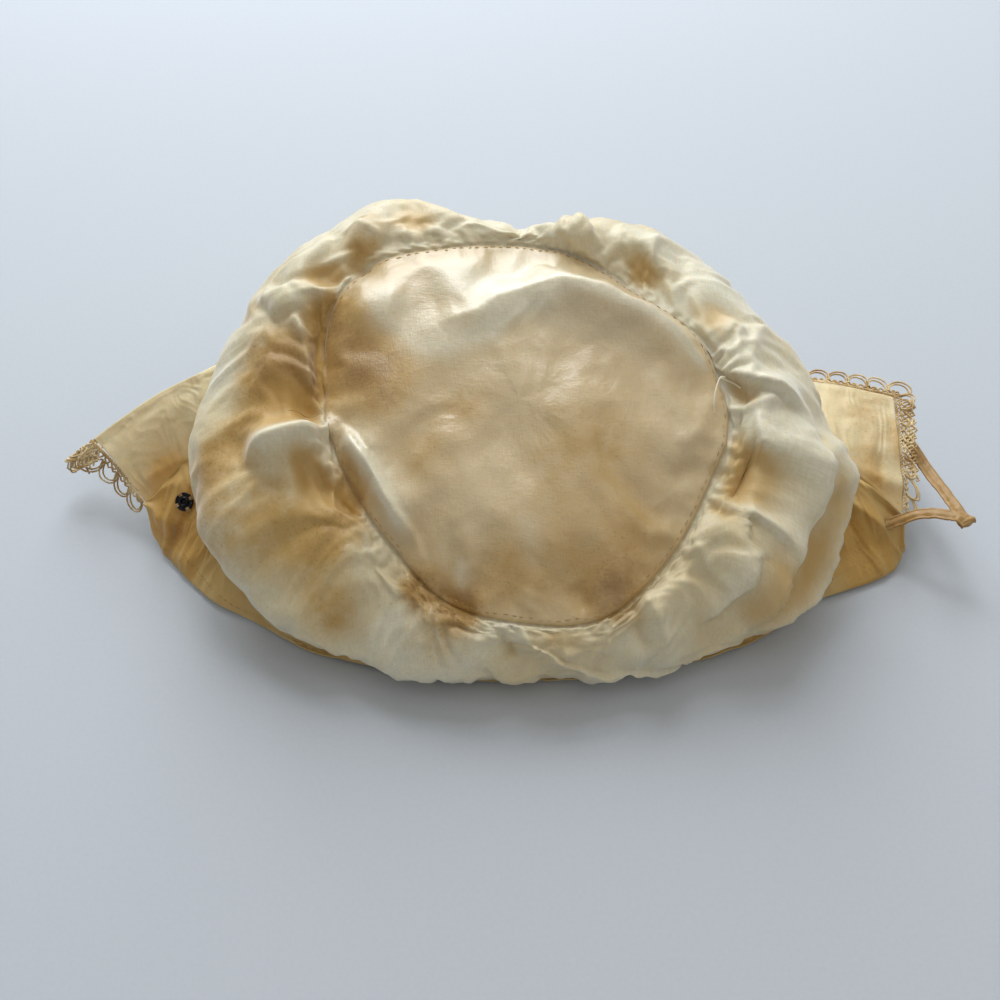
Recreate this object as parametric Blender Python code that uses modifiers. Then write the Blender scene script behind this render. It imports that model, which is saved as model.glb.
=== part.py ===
"""A baby bonnet of old silk, lying on its face opening with the round back panel up.

Plan angles are in degrees about the middle of the crown: 0 at the right wing, 90 at the far side,
where the top of the head goes, 180 at the left wing and 270 at the nape. Reach runs from 0 at the
middle of the crown over 1 at the crown seam to 2 at the hem of the puffed side band.
"""

from collections import namedtuple

import bmesh
import bpy
import numpy as np
from mathutils import Matrix, Vector

# Driving dimensions, in millimetres unless a name says otherwise
METRES = 0.001
CENTRE = np.array([2.8, -15.3])
CLOTH = 1.2
SEAM_GAP = 0.5
SEAM_START = 1.0001
HEM_GAP = 0.8
CROWN_DOME = 9.0
DOME_POWER = 2.6
CHART_REACH = 50.0
GATHERS = 22
GATHER_DEPTH = 0.9
GATHER_REACH = 0.35
SEAM_STILL = 0.08
HEM_STILL = 0.2
BAND_BULGE = 2.5
BAND_BULGE_FROM = 0.5
WING_BULGE = 2.0
WING_BULGE_FROM = 0.45
TABLE_EDGE = 0.4
FLAT_NAPE = -1.2
LACE_WIDTH = 6.2
LACE_PITCH = 5.7
LACE_THICK = 0.9
LACE_GAP = 0.45
LACE_TURN = 10
LACE_START = 0.06
LACE_HANGS_FROM = 0.76
LACE_HANGS_OVER = 0.07
LACE_HANG_WAY = np.array([0.0, 0.3, -1.0])
LACE_LOW_FROM = 6.0
LACE_LOW_OVER = 4.0
LACE_CORNER = 0.2
LACE_TIP = 0.9
LACE_LEFT_END = (1.25, 0.8)
LACE_COLUMNS = (0.0, 0.24, 0.76)
LACE_HEIGHTS = (0.0, 0.26, 0.74, 1.0)
LACE_SCALLOP = 0.72
LACE_CLEAR = 0.1
RIBBON_THICK = 0.8
STUD_RADIUS = 2.6
STUD_BASE = 0.7
STUD_HEIGHT = 1.5
STUD_HOLES = 4
STUD_HOLE_RADIUS = 0.28
STUD_HOLE_PLACE = 1.95
STUD_SEAT = (0.53, 0.075)
STUD_LIFT = 0.35

# How finely each sheet is cut
AROUND = 88
CROWN_RINGS = 6
PUFF_RINGS = 10
BRIM_COLUMNS = 4
BRIM_LENGTHS = 54
BAND_COLUMNS = 3
BAND_LENGTHS = 54
LACE_SHORT_STEPS = 24
LACE_LONG_STEPS = 240
RIBBON_LENGTHS = 36
STUD_STEPS = 16

Section = namedtuple("Section", "angle seam_r seam_z crest_r crest_z side_r side_z hem_r hem_z")
SECTIONS = (
    Section(0.0, 54.0, 44.5, 64.0, 48.0, 85.0, 31.0, 77.0, 13.0),
    Section(22.5, 52.5, 53.0, 61.0, 57.0, 82.0, 40.0, 74.0, 20.0),
    Section(45.0, 46.5, 60.0, 54.0, 67.0, 76.0, 52.0, 69.0, 33.0),
    Section(67.5, 45.6, 65.0, 51.0, 73.5, 74.0, 58.0, 67.0, 40.0),
    Section(90.0, 47.0, 67.5, 50.5, 68.8, 71.0, 51.0, 67.0, 41.0),
    Section(112.5, 48.5, 67.0, 57.0, 74.5, 77.0, 59.0, 70.0, 42.0),
    Section(135.0, 57.5, 64.0, 67.0, 71.5, 84.0, 54.0, 76.0, 36.0),
    Section(157.5, 57.0, 55.0, 69.0, 61.0, 85.0, 44.0, 78.0, 26.0),
    Section(180.0, 50.0, 44.5, 63.0, 51.0, 85.5, 34.0, 78.0, 15.0),
    Section(202.5, 45.0, 36.0, 57.0, 40.0, 79.0, 20.0, 73.0, 7.0),
    Section(225.0, 43.3, 28.5, 51.0, 31.0, 66.5, 12.0, 60.5, 2.6),
    Section(247.5, 46.2, 22.5, 51.0, 24.5, 60.0, 10.0, 54.5, 2.2),
    Section(270.0, 46.7, 20.0, 50.0, 21.5, 54.8, 11.0, 50.5, 2.2),
    Section(292.5, 50.2, 20.2, 53.5, 21.5, 58.5, 9.0, 53.5, 2.2),
    Section(315.0, 49.4, 26.0, 55.0, 28.5, 66.5, 10.0, 60.5, 2.6),
    Section(337.5, 50.0, 34.5, 58.0, 38.0, 80.0, 14.0, 74.0, 4.6),
)

# A fold runs straight from a to b in the cloth. A positive height is a ridge, a negative one a valley
Fold = namedtuple("Fold", "angle_a reach_a angle_b reach_b width height")
FOLDS = (
    Fold(89, 0.60, 62, 0.72, 7, 3.0),
    Fold(62, 0.72, 36, 0.82, 7, 3.0),
    Fold(36, 0.82, 12, 0.88, 6, 2.5),
    Fold(150, 0.90, 140, 0.66, 6, 2.0),
    Fold(183, 0.90, 205, 0.85, 6, 2.5),
    Fold(205, 0.85, 229, 0.87, 6, 2.5),
    Fold(189, 1.45, 186, 1.10, 8, 5.0),
    Fold(190, 1.60, 206, 1.55, 7, 3.5),
    Fold(3, 1.48, 349, 1.50, 7, 4.0),
    Fold(349, 1.50, 324, 1.60, 7, 4.0),
    Fold(17, 1.12, 4, 1.45, 6, 3.0),
    Fold(27, 1.10, 22, 1.37, 6, 2.5),
    Fold(75, 1.12, 67, 1.30, 6, 2.5),
    Fold(134, 1.27, 129, 1.12, 6, 2.5),
    Fold(158, 1.22, 150, 1.30, 6, 2.5),
    Fold(281, 1.45, 314, 1.62, 6, 1.5),
    Fold(303, 1.08, 306, 1.40, 6, 1.5),
    Fold(148, 0.80, 135, 0.50, 8, -3.5),
    Fold(135, 0.50, 105, 0.45, 8, -3.5),
    Fold(197, 1.32, 200, 1.10, 7, -5.0),
    Fold(178, 1.35, 177, 1.05, 6, -2.5),
    Fold(200, 1.12, 211, 1.02, 6, -2.5),
    Fold(337, 1.30, 352, 1.32, 7, -4.0),
    Fold(24, 1.10, 29, 1.45, 6, -2.5),
    Fold(49, 1.10, 48, 1.30, 6, -3.0),
    Fold(142, 1.20, 146, 1.08, 6, -3.0),
    Fold(118, 1.15, 118, 1.45, 6, -2.0),
    Fold(282, 1.05, 282, 1.40, 6, -1.8),
)

# Where the brim and the neck band meet beyond the puff's hem: out and rise are from the hem
ChinPoint = namedtuple("ChinPoint", "angle out rise")
RIGHT_CHIN = (ChinPoint(-1.7, 28.9, 0.4), ChinPoint(4.0, 17.3, 4.8), ChinPoint(9.0, 7.0, 6.0))
LEFT_CHIN = (ChinPoint(168.0, 4.0, 4.5), ChinPoint(173.0, 13.8, 2.5), ChinPoint(178.0, 26.0, -5.6))

# Rows across a band, from its inner edge (out and rise from the hem) to its outer edge. A rise of
# FLAT_NAPE takes the inner edge down onto the table with the rest
BandRow = namedtuple("BandRow", "angle out rise outer_angle outer_r outer_z")
BRIM_ROWS = (
    BandRow(*RIGHT_CHIN[0], 17.5, 113.5, 22.5),
    BandRow(*RIGHT_CHIN[1], 21.5, 104.0, 22.5),
    BandRow(*RIGHT_CHIN[2], 28.0, 93.5, 20.5),
    BandRow(22.0, 0.0, 0.0, 38.0, 86.0, 17.0),
    BandRow(45.0, 0.0, 0.0, 53.0, 80.0, 6.0),
    BandRow(67.5, 0.0, 0.0, 70.0, 78.0, TABLE_EDGE),
    BandRow(90.0, 0.0, 0.0, 90.0, 80.0, TABLE_EDGE),
    BandRow(112.5, 0.0, 0.0, 111.0, 82.0, TABLE_EDGE),
    BandRow(135.0, 0.0, 0.0, 131.0, 87.0, 12.0),
    BandRow(157.5, 0.0, 0.0, 149.0, 90.0, 29.0),
    BandRow(*LEFT_CHIN[0], 161.0, 93.0, 36.0),
    BandRow(*LEFT_CHIN[1], 165.0, 105.0, 30.0),
    BandRow(*LEFT_CHIN[2], 170.7, 121.5, 20.0),
)
BAND_ROWS = (
    BandRow(*LEFT_CHIN[2], 181.0, 102.5, 4.0),
    BandRow(*LEFT_CHIN[1], 184.5, 98.5, CLOTH),
    BandRow(171.0, 3.5, 2.2, 187.5, 95.0, CLOTH),
    BandRow(181.0, 0.0, 0.0, 191.5, 91.0, CLOTH),
    BandRow(190.0, 0.0, 0.0, 196.5, 86.0, CLOTH),
    BandRow(202.5, 0.0, 0.0, 204.0, 77.0, CLOTH),
    BandRow(214.0, -1.0, -0.6, 214.0, 70.0, CLOTH),
    BandRow(230.0, -7.0, -0.4, 230.0, 60.0, CLOTH),
    BandRow(250.0, -8.0, FLAT_NAPE, 250.0, 53.5, CLOTH),
    BandRow(270.0, -8.0, FLAT_NAPE, 270.0, 50.5, CLOTH),
    BandRow(290.0, -8.0, FLAT_NAPE, 290.0, 52.5, CLOTH),
    BandRow(308.0, -7.0, -0.4, 308.0, 58.0, CLOTH),
    BandRow(322.0, -2.0, -0.6, 321.0, 67.0, CLOTH),
    BandRow(336.0, 0.0, 0.0, 333.0, 75.5, CLOTH),
    BandRow(350.0, 0.0, 0.0, 342.5, 83.0, CLOTH),
    BandRow(364.0, 1.5, 0.0, 347.0, 91.5, CLOTH),
    BandRow(369.0, 6.6, 4.4, 350.0, 99.0, CLOTH),
    BandRow(364.0, 17.3, 4.0, 353.0, 105.0, CLOTH),
    BandRow(358.3, 28.9, 0.4, 355.5, 107.0, 3.0),
)

# The ribbon's middle line from the crown's middle, with its half width, from under the lace to its end
RibbonStation = namedtuple("RibbonStation", "x y z across_x across_y across_z")
RIBBON = (
    RibbonStation(110.6, 22.0, 18.4, 1.6, 0.5, 0.3),
    RibbonStation(113.0, 16.5, 16.8, 1.6, 0.6, 0.2),
    RibbonStation(115.2, 9.4, 16.4, 1.65, 0.6, 0.1),
    RibbonStation(117.0, 1.1, 18.0, 1.7, 0.5, 0.0),
    RibbonStation(118.3, -6.6, 19.4, 1.7, 0.5, 0.0),
    RibbonStation(119.4, -12.0, 19.8, 2.0, 1.0, 0.0),
    RibbonStation(119.9, -13.6, 20.6, 2.1, 1.2, 0.0),
    RibbonStation(119.0, -12.8, 21.5, 1.9, 1.3, 0.0),
    RibbonStation(115.6, -10.6, 21.2, 1.0, 1.5, 0.0),
    RibbonStation(109.4, -7.0, 17.8, 0.4, 1.7, 0.2),
    RibbonStation(104.6, -5.7, 13.8, 0.3, 1.4, 0.9),
    RibbonStation(101.3, -5.3, 11.2, 0.2, 1.2, 1.1),
)

Finish = namedtuple("Finish", "colour roughness metallic")
FINISHES = {
    "crown": Finish((0.50, 0.40, 0.23), 0.45, 0.0),
    "puff": Finish((0.56, 0.52, 0.37), 0.55, 0.0),
    "brim": Finish((0.66, 0.53, 0.31), 0.50, 0.0),
    "neck_band": Finish((0.55, 0.41, 0.20), 0.55, 0.0),
    "lace_edging": Finish((0.42, 0.29, 0.14), 0.80, 0.0),
    "tie_ribbon": Finish((0.38, 0.24, 0.10), 0.50, 0.0),
    "press_stud": Finish((0.02, 0.02, 0.02), 0.35, 0.9),
}


def cubic(before, start, end, after, part):
    """The curve from start to end at this share, whose slopes come from the rows on either side."""
    return 0.5 * (
        2 * start
        + (end - before) * part
        + (2 * before - 5 * start + 4 * end - after) * part**2
        + (3 * start - before - 3 * end + after) * part**3
    )


def smooth_rows(table, position, closed):
    """The table's columns at a position counted in rows, on a curve through its rows."""
    values = np.array(table, float)
    count = len(values)
    last = count if closed else count - 1
    position = np.clip(position, 0.0, last - 1e-9)
    row = np.floor(position).astype(int)
    part = (position - row)[..., None]
    near = [row + step for step in (-1, 0, 1, 2)]
    near = [index % count if closed else np.clip(index, 0, count - 1) for index in near]
    return cubic(*(values[index] for index in near), part)


def section_at(angle):
    """The radii and heights of the bonnet's section at a plan angle."""
    rows = [section[1:] for section in SECTIONS]
    return smooth_rows(rows, np.mod(angle, 360.0) / 360.0 * len(rows), True)


def plan(angle, radius, height):
    """Points from a plan angle, a radius about the crown's middle and a height."""
    turn = np.radians(angle)
    x = CENTRE[0] + radius * np.cos(turn)
    y = CENTRE[1] + radius * np.sin(turn)
    return np.stack([x, y, height + 0.0 * turn], axis=-1)


def body_form(angle, reach):
    """The smooth crown (reach 0 to 1) and side band (reach 1 to 2), before any fold."""
    section = section_at(angle)
    middle = np.mean([row.seam_z for row in SECTIONS])
    inside = np.minimum(reach, 1.0)
    rise = middle + (section[..., 1] - middle) * inside + CROWN_DOME * (1 - inside**DOME_POWER)
    crown = plan(angle, section[..., 0] * inside, rise)
    position = np.clip(reach - 1.0, 0.0, 1.0) * 3
    row = np.minimum(np.floor(position).astype(int), 2)
    part = (position - row)[..., None]
    knots = section.reshape(section.shape[:-1] + (4, 2))

    def knot(step):
        index = np.clip(row + step, 0, 3)[..., None, None]
        index = np.broadcast_to(index, index.shape[:-1] + (2,))
        return np.take_along_axis(knots, index, -2)[..., 0, :]

    side = cubic(*(knot(step) for step in (-1, 0, 1, 2)), part)
    return np.where((reach > 1.0)[..., None], plan(angle, side[..., 0], side[..., 1]), crown)


def chart(angle, reach):
    """Where a point of the cloth lies when the whole bonnet is spread out flat."""
    turn = np.radians(angle)
    return CHART_REACH * reach[..., None] * np.stack([np.cos(turn), np.sin(turn)], axis=-1)


def fold_height(angle, reach):
    """How far the folds lift the cloth: the highest ridge and the deepest valley at each point."""
    here = chart(angle, reach)
    ridge = np.zeros(angle.shape)
    valley = np.zeros(angle.shape)
    for fold in FOLDS:
        angles = np.array([fold.angle_a, fold.angle_b], float)
        ends = chart(angles, np.array([fold.reach_a, fold.reach_b]))
        run = ends[1] - ends[0]
        along = np.clip(((here - ends[0]) @ run) / (run @ run), 0.0, 1.0)
        off = np.linalg.norm(here - ends[0] - along[..., None] * run, axis=-1)
        lift = fold.height * np.exp(-((off / fold.width) ** 2))
        ridge = np.maximum(ridge, lift)
        valley = np.minimum(valley, lift)
    return ridge + valley


def gather_height(angle, reach):
    """Small pleats of the side band that die away from the crown seam and from the hem."""
    from_seam = np.clip((reach - 1.0) / GATHER_REACH, 0.0, 1.0)
    swell = np.sin(np.pi * from_seam) * (reach > 1.0)
    return GATHER_DEPTH * swell * np.cos(np.radians(angle) * GATHERS)


def body_surface(angle, reach):
    """The folded cloth: the smooth form moved along its own normal."""
    step = 1e-3
    point = body_form(angle, reach)
    inner = np.clip(reach, 0.02, 2.0 - step)
    out = body_form(angle, inner + step) - body_form(angle, inner - step)
    round_it = body_form(angle + 0.1, inner) - body_form(angle - 0.1, inner)
    normal = np.cross(out, round_it)
    normal /= np.maximum(np.linalg.norm(normal, axis=-1, keepdims=True), 1e-9)
    from_hem = np.clip((2.0 - reach) / HEM_STILL, 0.0, 1.0)
    edge = from_hem * np.clip(np.abs(reach - 1.0) / SEAM_STILL, 0.0, 1.0)
    lift = (fold_height(angle, reach) + gather_height(angle, reach)) * edge
    return point + normal * lift[..., None]


def band_point(rows, across, along, bow, inner_gap, lowest):
    """A point of the brim or the neck band: across from its inner edge, along its rows."""
    row = smooth_rows(rows, along * (len(rows) - 1), False)
    hem = section_at(row[..., 0])[..., 6:8]
    inner = plan(row[..., 0], hem[..., 0] + row[..., 1], hem[..., 1] + row[..., 2])
    outer = plan(row[..., 3], row[..., 4], np.maximum(row[..., 5], lowest))
    run = outer - inner
    length = np.linalg.norm(run, axis=-1, keepdims=True)
    point = inner + run * (inner_gap + (length - inner_gap) * across[..., None]) / length
    point[..., 2] = np.maximum(point[..., 2], lowest) + bow * np.sin(np.pi * across)
    return point


def towards_ends(along, start):
    """0 in the middle of a band, and from this share of its half length rising to 1 at both ends."""
    return np.clip((np.abs(along - 0.5) * 2 - start) / (1 - start) * 2, 0.0, 1.0)


def brim_point(across, along):
    """The brim, a little bowed across its wings."""
    bow = WING_BULGE * towards_ends(along, WING_BULGE_FROM)
    return band_point(BRIM_ROWS, across, along, bow, HEM_GAP, TABLE_EDGE)


def neck_point(across, along):
    """The neck band, bowed at its ends and flat on the table at the nape."""
    bow = BAND_BULGE * towards_ends(along, BAND_BULGE_FROM)
    return band_point(BAND_ROWS, across, along, bow, HEM_GAP, CLOTH)


def finish_of(name):
    """A plain material in the piece's colour."""
    finish = FINISHES[name]
    material = bpy.data.materials.new(name)
    material.use_nodes = True
    shader = material.node_tree.nodes["Principled BSDF"]
    shader.inputs["Base Color"].default_value = (*finish.colour, 1.0)
    shader.inputs["Roughness"].default_value = finish.roughness
    shader.inputs["Metallic"].default_value = finish.metallic
    return material


def add_object(name, mesh, collection):
    """An object of the mesh, with the finish of its own name."""
    mesh.materials.append(finish_of(name))
    piece = bpy.data.objects.new(name, mesh)
    collection.objects.link(piece)
    return piece


def add_wall(piece, thickness, offset=-1.0):
    """Cloth is an open surface with this thickness on its inner side."""
    wall = piece.modifiers.new("wall", "SOLIDIFY")
    wall.thickness = thickness * METRES
    wall.offset = offset
    wall.use_rim = True


def sheet(name, columns, rows, place, collection, thickness=CLOTH, keep=None):
    """A grid mapped by place(across, along), closed where its edges meet, with a wall."""
    grid = bmesh.new()
    bmesh.ops.create_grid(grid, x_segments=columns, y_segments=rows, size=0.5)
    if keep:
        middles = [(face, face.calc_center_median().xy + Vector((0.5, 0.5))) for face in grid.faces]
        cut = [face for face, middle in middles if not keep(*middle)]
        bmesh.ops.delete(grid, geom=cut, context="FACES")
    where = np.array([vert.co.xy for vert in grid.verts]) + 0.5
    for vert, point in zip(grid.verts, place(where[:, 0], where[:, 1]) * METRES):
        vert.co = point
    bmesh.ops.remove_doubles(grid, verts=grid.verts, dist=1e-5)
    mesh = bpy.data.meshes.new(name)
    grid.to_mesh(mesh)
    grid.free()
    mesh.shade_smooth()
    piece = add_object(name, mesh, collection)
    add_wall(piece, thickness)
    return piece


def build_crown(collection):
    """The domed back panel, up to its seam."""

    def place(across, along):
        angle = along * 360.0
        seam = section_at(angle)[..., 0]
        return body_surface(angle, across * (1 - SEAM_GAP / seam))

    return sheet("crown", CROWN_RINGS, AROUND, place, collection)


def build_puff(collection):
    """The gathered side band, from the crown seam to its hem."""

    def place(across, along):
        return body_surface(along * 360.0, SEAM_START + across * (2.0 - SEAM_START))

    return sheet("puff", PUFF_RINGS, AROUND, place, collection)


def unit(ways):
    """The same directions at a length of one."""
    return ways / np.linalg.norm(ways, axis=-1, keepdims=True)


def lace_path():
    """The lace's inner edge and the way it runs out from there, round the brim's free edges.

    It lies flat on the table at the far side and hangs behind the left wing's long edge.
    """
    short = np.linspace(LACE_START, 1.0, LACE_SHORT_STEPS)
    face = np.linspace(0.0, 1.0, LACE_LONG_STEPS)
    none, step = 0 * short, 2e-3
    right = brim_point(short, none)
    right_way = unit(right - brim_point(short, none + step))
    long = brim_point(0 * face + 1.0, face)
    long_out = unit(long - brim_point(0 * face + 1.0 - step, face))
    long_out[:, 2] *= 1.0 - np.clip((LACE_LOW_FROM - long[:, 2]) / LACE_LOW_OVER, 0.0, 1.0)
    hang = np.clip((face - LACE_HANGS_FROM) / LACE_HANGS_OVER, 0.0, 1.0)[:, None]
    long_way = unit(long_out * (1.0 - hang) + LACE_HANG_WAY * hang)
    left = brim_point(short[::-1], none + 1.0)
    left_way = unit(left - brim_point(short[::-1], none + 1.0 - step))
    turn = np.linspace(0.0, 1.0, LACE_TURN)[1:-1, None]
    still = np.ones((LACE_TURN - 2, 1))
    first = unit(right_way[-1] * (1 - turn) + long_way[0] * turn)
    last = unit(long_way[-1] * (1 - turn) + left_way[0] * turn)
    last_out = unit(long_out[-1] * (1 - turn) + left_way[0] * turn)
    points = np.concatenate([right, still * long[0], long, still * long[-1], left])
    ways = np.concatenate([right_way, first, long_way, last, left_way])
    outs = np.concatenate([right_way, first, long_out, last_out, left_way])
    behind = np.concatenate([none, still[:, 0] * 0, hang[:, 0], 1 - turn[:, 0], none])
    swing = np.sin(np.pi * turn[:, 0])
    at_right, at_corner, on_face = none + 1.0, 1.0 + LACE_CORNER * swing, 1.0 + 0 * face
    at_tip, at_left = 1.0 + LACE_TIP * swing, np.linspace(*LACE_LEFT_END, len(short))
    stretch = np.concatenate([at_right, at_corner, on_face, at_tip, at_left])
    start = points + outs * (LACE_GAP + (LACE_THICK + 1.5 * CLOTH) * behind)[:, None]
    return start, ways * stretch[:, None]


def build_lace(collection):
    """A crocheted strip of open loops: each cell has a hole and a scalloped outer edge."""
    points, ways = lace_path()
    middle = points + unit(ways) * LACE_WIDTH * 0.5
    length = np.concatenate([[0.0], np.cumsum(np.linalg.norm(np.diff(middle, axis=0), axis=1))])
    cells = int(round(length[-1] / LACE_PITCH))

    def place(across, along):
        step = np.round(along * cells * 3).astype(int)
        cell, part = step // 3, step % 3
        phase = np.array(LACE_COLUMNS)[part]
        at = (cell + phase) / cells * length[-1]
        base = np.stack([np.interp(at, length, points[:, axis]) for axis in range(3)], axis=-1)
        way = np.stack([np.interp(at, length, ways[:, axis]) for axis in range(3)], axis=-1)
        height = np.array(LACE_HEIGHTS)[np.round(across * 3).astype(int)] * LACE_WIDTH
        height = height * np.where(part == 0, LACE_SCALLOP, 1.0)
        spot = base + way * height[..., None]
        spot[..., 2] = np.maximum(spot[..., 2], LACE_THICK + LACE_CLEAR)
        return spot

    def keep(across, along):
        row, column = int(across * 3), int(along * cells * 3) % 3
        return not (row == 1 and column == 1)

    return sheet("lace_edging", 3, cells * 3, place, collection, LACE_THICK, keep)


def build_ribbon(collection):
    """A flat ribbon along its stations, a closed solid of even thickness."""
    stations = np.array(RIBBON)

    def place(across, along):
        row = smooth_rows(stations, along * (len(stations) - 1), False)
        return np.array([*CENTRE, 0.0]) + row[..., :3] + row[..., 3:] * (across * 2 - 1)[..., None]

    piece = sheet("tie_ribbon", 1, RIBBON_LENGTHS, place, collection, RIBBON_THICK)
    piece.modifiers["wall"].offset = 0.0
    return piece


def turned_stud():
    """The stud's half outline, from its rim over the ring to its socket, top to bottom."""
    outline = (
        (0.0, STUD_HEIGHT * 0.62),
        (0.55, STUD_HEIGHT * 0.62),
        (0.75, STUD_HEIGHT),
        (1.25, STUD_HEIGHT),
        (1.45, STUD_BASE),
        (STUD_RADIUS - 0.2, STUD_BASE),
        (STUD_RADIUS, STUD_BASE * 0.6),
        (STUD_RADIUS - 0.1, 0.0),
        (0.0, 0.0),
    )
    mesh = bpy.data.meshes.new("press_stud")
    points = [(radius * METRES, 0.0, height * METRES) for radius, height in outline]
    mesh.from_pydata(points, [(i, i + 1) for i in range(len(points) - 1)], [])
    return mesh


def build_stud(collection, cutters):
    """A turned stud with sewing holes, seated on the neck band by the left chin corner."""
    seat = np.array(STUD_SEAT)

    def at(across, along):
        return neck_point(np.array([across]), np.array([along]))[0]

    spot = at(*seat)
    out = at(seat[0] + 0.01, seat[1]) - at(seat[0] - 0.01, seat[1])
    along = at(seat[0], seat[1] + 0.01) - at(seat[0], seat[1] - 0.01)
    normal = Vector(np.cross(out, along)).normalized()
    piece = add_object("press_stud", turned_stud(), collection)
    screw = piece.modifiers.new("turn", "SCREW")
    screw.steps = screw.render_steps = STUD_STEPS
    screw.use_merge_vertices = True
    screw.merge_threshold = 1e-6
    place = Matrix.Translation((Vector(spot) + normal * STUD_LIFT) * METRES)
    piece.matrix_world = place @ normal.to_track_quat("Z", "Y").to_matrix().to_4x4()
    off = Matrix.Translation((STUD_HOLE_PLACE * METRES, 0.0, 0.0))
    width, depth = STUD_HOLE_RADIUS * METRES, 2 * STUD_HEIGHT * METRES
    for index in range(STUD_HOLES):
        turn = Matrix.Rotation(np.radians(45 + 360 / STUD_HOLES * index), 4, "Z")
        drill_mesh = bpy.data.meshes.new("stud_drill")
        form = bmesh.new()
        bmesh.ops.create_cone(form, cap_ends=True, segments=6, radius1=width, radius2=width, depth=depth)
        form.to_mesh(drill_mesh)
        form.free()
        drill = bpy.data.objects.new(f"stud_drill_{index + 1}", drill_mesh)
        drill.matrix_world = piece.matrix_world @ turn @ off
        drill.hide_render = True
        drill.display_type = "WIRE"
        cutters.objects.link(drill)
        hole = piece.modifiers.new(f"hole_{index + 1}", "BOOLEAN")
        hole.operation = "DIFFERENCE"
        hole.object = drill
    return piece


def main():
    """Clears the scene and builds the bonnet's seven pieces."""
    for old in list(bpy.data.objects):
        bpy.data.objects.remove(old, do_unlink=True)
    bonnet = bpy.data.collections.new("baby_bonnet")
    cutters = bpy.data.collections.new("cutters")
    bpy.context.scene.collection.children.link(bonnet)
    bpy.context.scene.collection.children.link(cutters)
    build_crown(bonnet)
    build_puff(bonnet)
    sheet("brim", BRIM_COLUMNS, BRIM_LENGTHS, brim_point, bonnet)
    sheet("neck_band", BAND_COLUMNS, BAND_LENGTHS, neck_point, bonnet)
    build_lace(bonnet)
    build_ribbon(bonnet)
    build_stud(bonnet, cutters)


main()
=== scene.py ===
"""A baby bonnet of old silk, lying on its face opening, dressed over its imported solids.

Plan angles are in degrees about the middle of the crown: 0 at the right wing, 90 at the far side,
where the top of the head goes, 180 at the left wing and 270 at the nape. Reach runs from 0 at the
middle of the crown over 1 at the crown seam to 2 at the hem of the puffed side band. Every table is
in millimetres, and a point becomes metres only where it goes into a mesh.
"""

import logging
from dataclasses import dataclass, field
from enum import Enum

import bpy
import numpy as np
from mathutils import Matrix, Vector

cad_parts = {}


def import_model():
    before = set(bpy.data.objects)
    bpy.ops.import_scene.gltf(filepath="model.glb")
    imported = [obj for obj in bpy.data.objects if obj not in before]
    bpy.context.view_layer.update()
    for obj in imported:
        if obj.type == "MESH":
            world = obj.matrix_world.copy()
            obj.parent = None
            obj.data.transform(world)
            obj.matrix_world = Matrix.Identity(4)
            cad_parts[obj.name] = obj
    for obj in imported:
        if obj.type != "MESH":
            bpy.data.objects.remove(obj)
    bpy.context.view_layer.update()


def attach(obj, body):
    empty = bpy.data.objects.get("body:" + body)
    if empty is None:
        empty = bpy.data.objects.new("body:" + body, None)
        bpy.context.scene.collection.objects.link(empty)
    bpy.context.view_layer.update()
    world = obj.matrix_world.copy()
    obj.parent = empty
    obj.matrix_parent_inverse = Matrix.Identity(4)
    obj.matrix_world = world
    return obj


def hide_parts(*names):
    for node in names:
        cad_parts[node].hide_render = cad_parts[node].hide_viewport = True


Array = np.ndarray
Colour = tuple[float, float, float]
Socket = bpy.types.NodeSocket
MM = 0.001
BODY = "root"
FAR_OFF = 1e9
TIP_ROUND, TIP_DROP = 0.3, 0.55
CRUSH_LEVEL = 0.55
# how deep a valley and how high a ridge go from no painted shade and painted sheen to full
VALLEY_SHADE = (0.2, 3.6)
RIDGE_SHEEN = (0.3, 3.4)
log = logging.getLogger("baby_bonnet")


# Small tools for arrays of points


def unit(ways: Array) -> Array:
    """The same directions at a length of one."""
    return ways / np.maximum(np.linalg.norm(ways, axis=-1, keepdims=True), 1e-9)


def ease(low: float, high: float, value: Array) -> Array:
    """0 below low, 1 above high, and 3t² - 2t³ of the share t in between."""
    share = np.clip((value - low) / (high - low), 0.0, 1.0)
    return share * share * (3.0 - 2.0 * share)


def smooth_rows(table: Array, position: Array, closed: bool) -> Array:
    """The table's columns at a position counted in rows, on a cubic curve through its rows.

    Args:
        table: rows of numbers.
        position: where to read, in rows from the first.
        closed: whether the last row runs on into the first.

    Returns:
        One row of numbers for each position.
    """
    values = np.array(table, float)
    count = len(values)
    last = count if closed else count - 1
    position = np.clip(position, 0.0, last - 1e-9)
    row = np.floor(position).astype(int)
    part = (position - row)[..., None]
    near = [row + step for step in (-1, 0, 1, 2)]
    near = [index % count if closed else np.clip(index, 0, count - 1) for index in near]
    before, start, end, after = (values[index] for index in near)
    return cubic(before, start, end, after, part)


def cubic(before: Array, start: Array, end: Array, after: Array, part: Array) -> Array:
    """The curve from start to end at this share, whose slopes come from the rows on either side."""
    return 0.5 * (
        2 * start
        + (end - before) * part
        + (2 * before - 5 * start + 4 * end - after) * part**2
        + (3 * start - before - 3 * end + after) * part**3
    )


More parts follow.
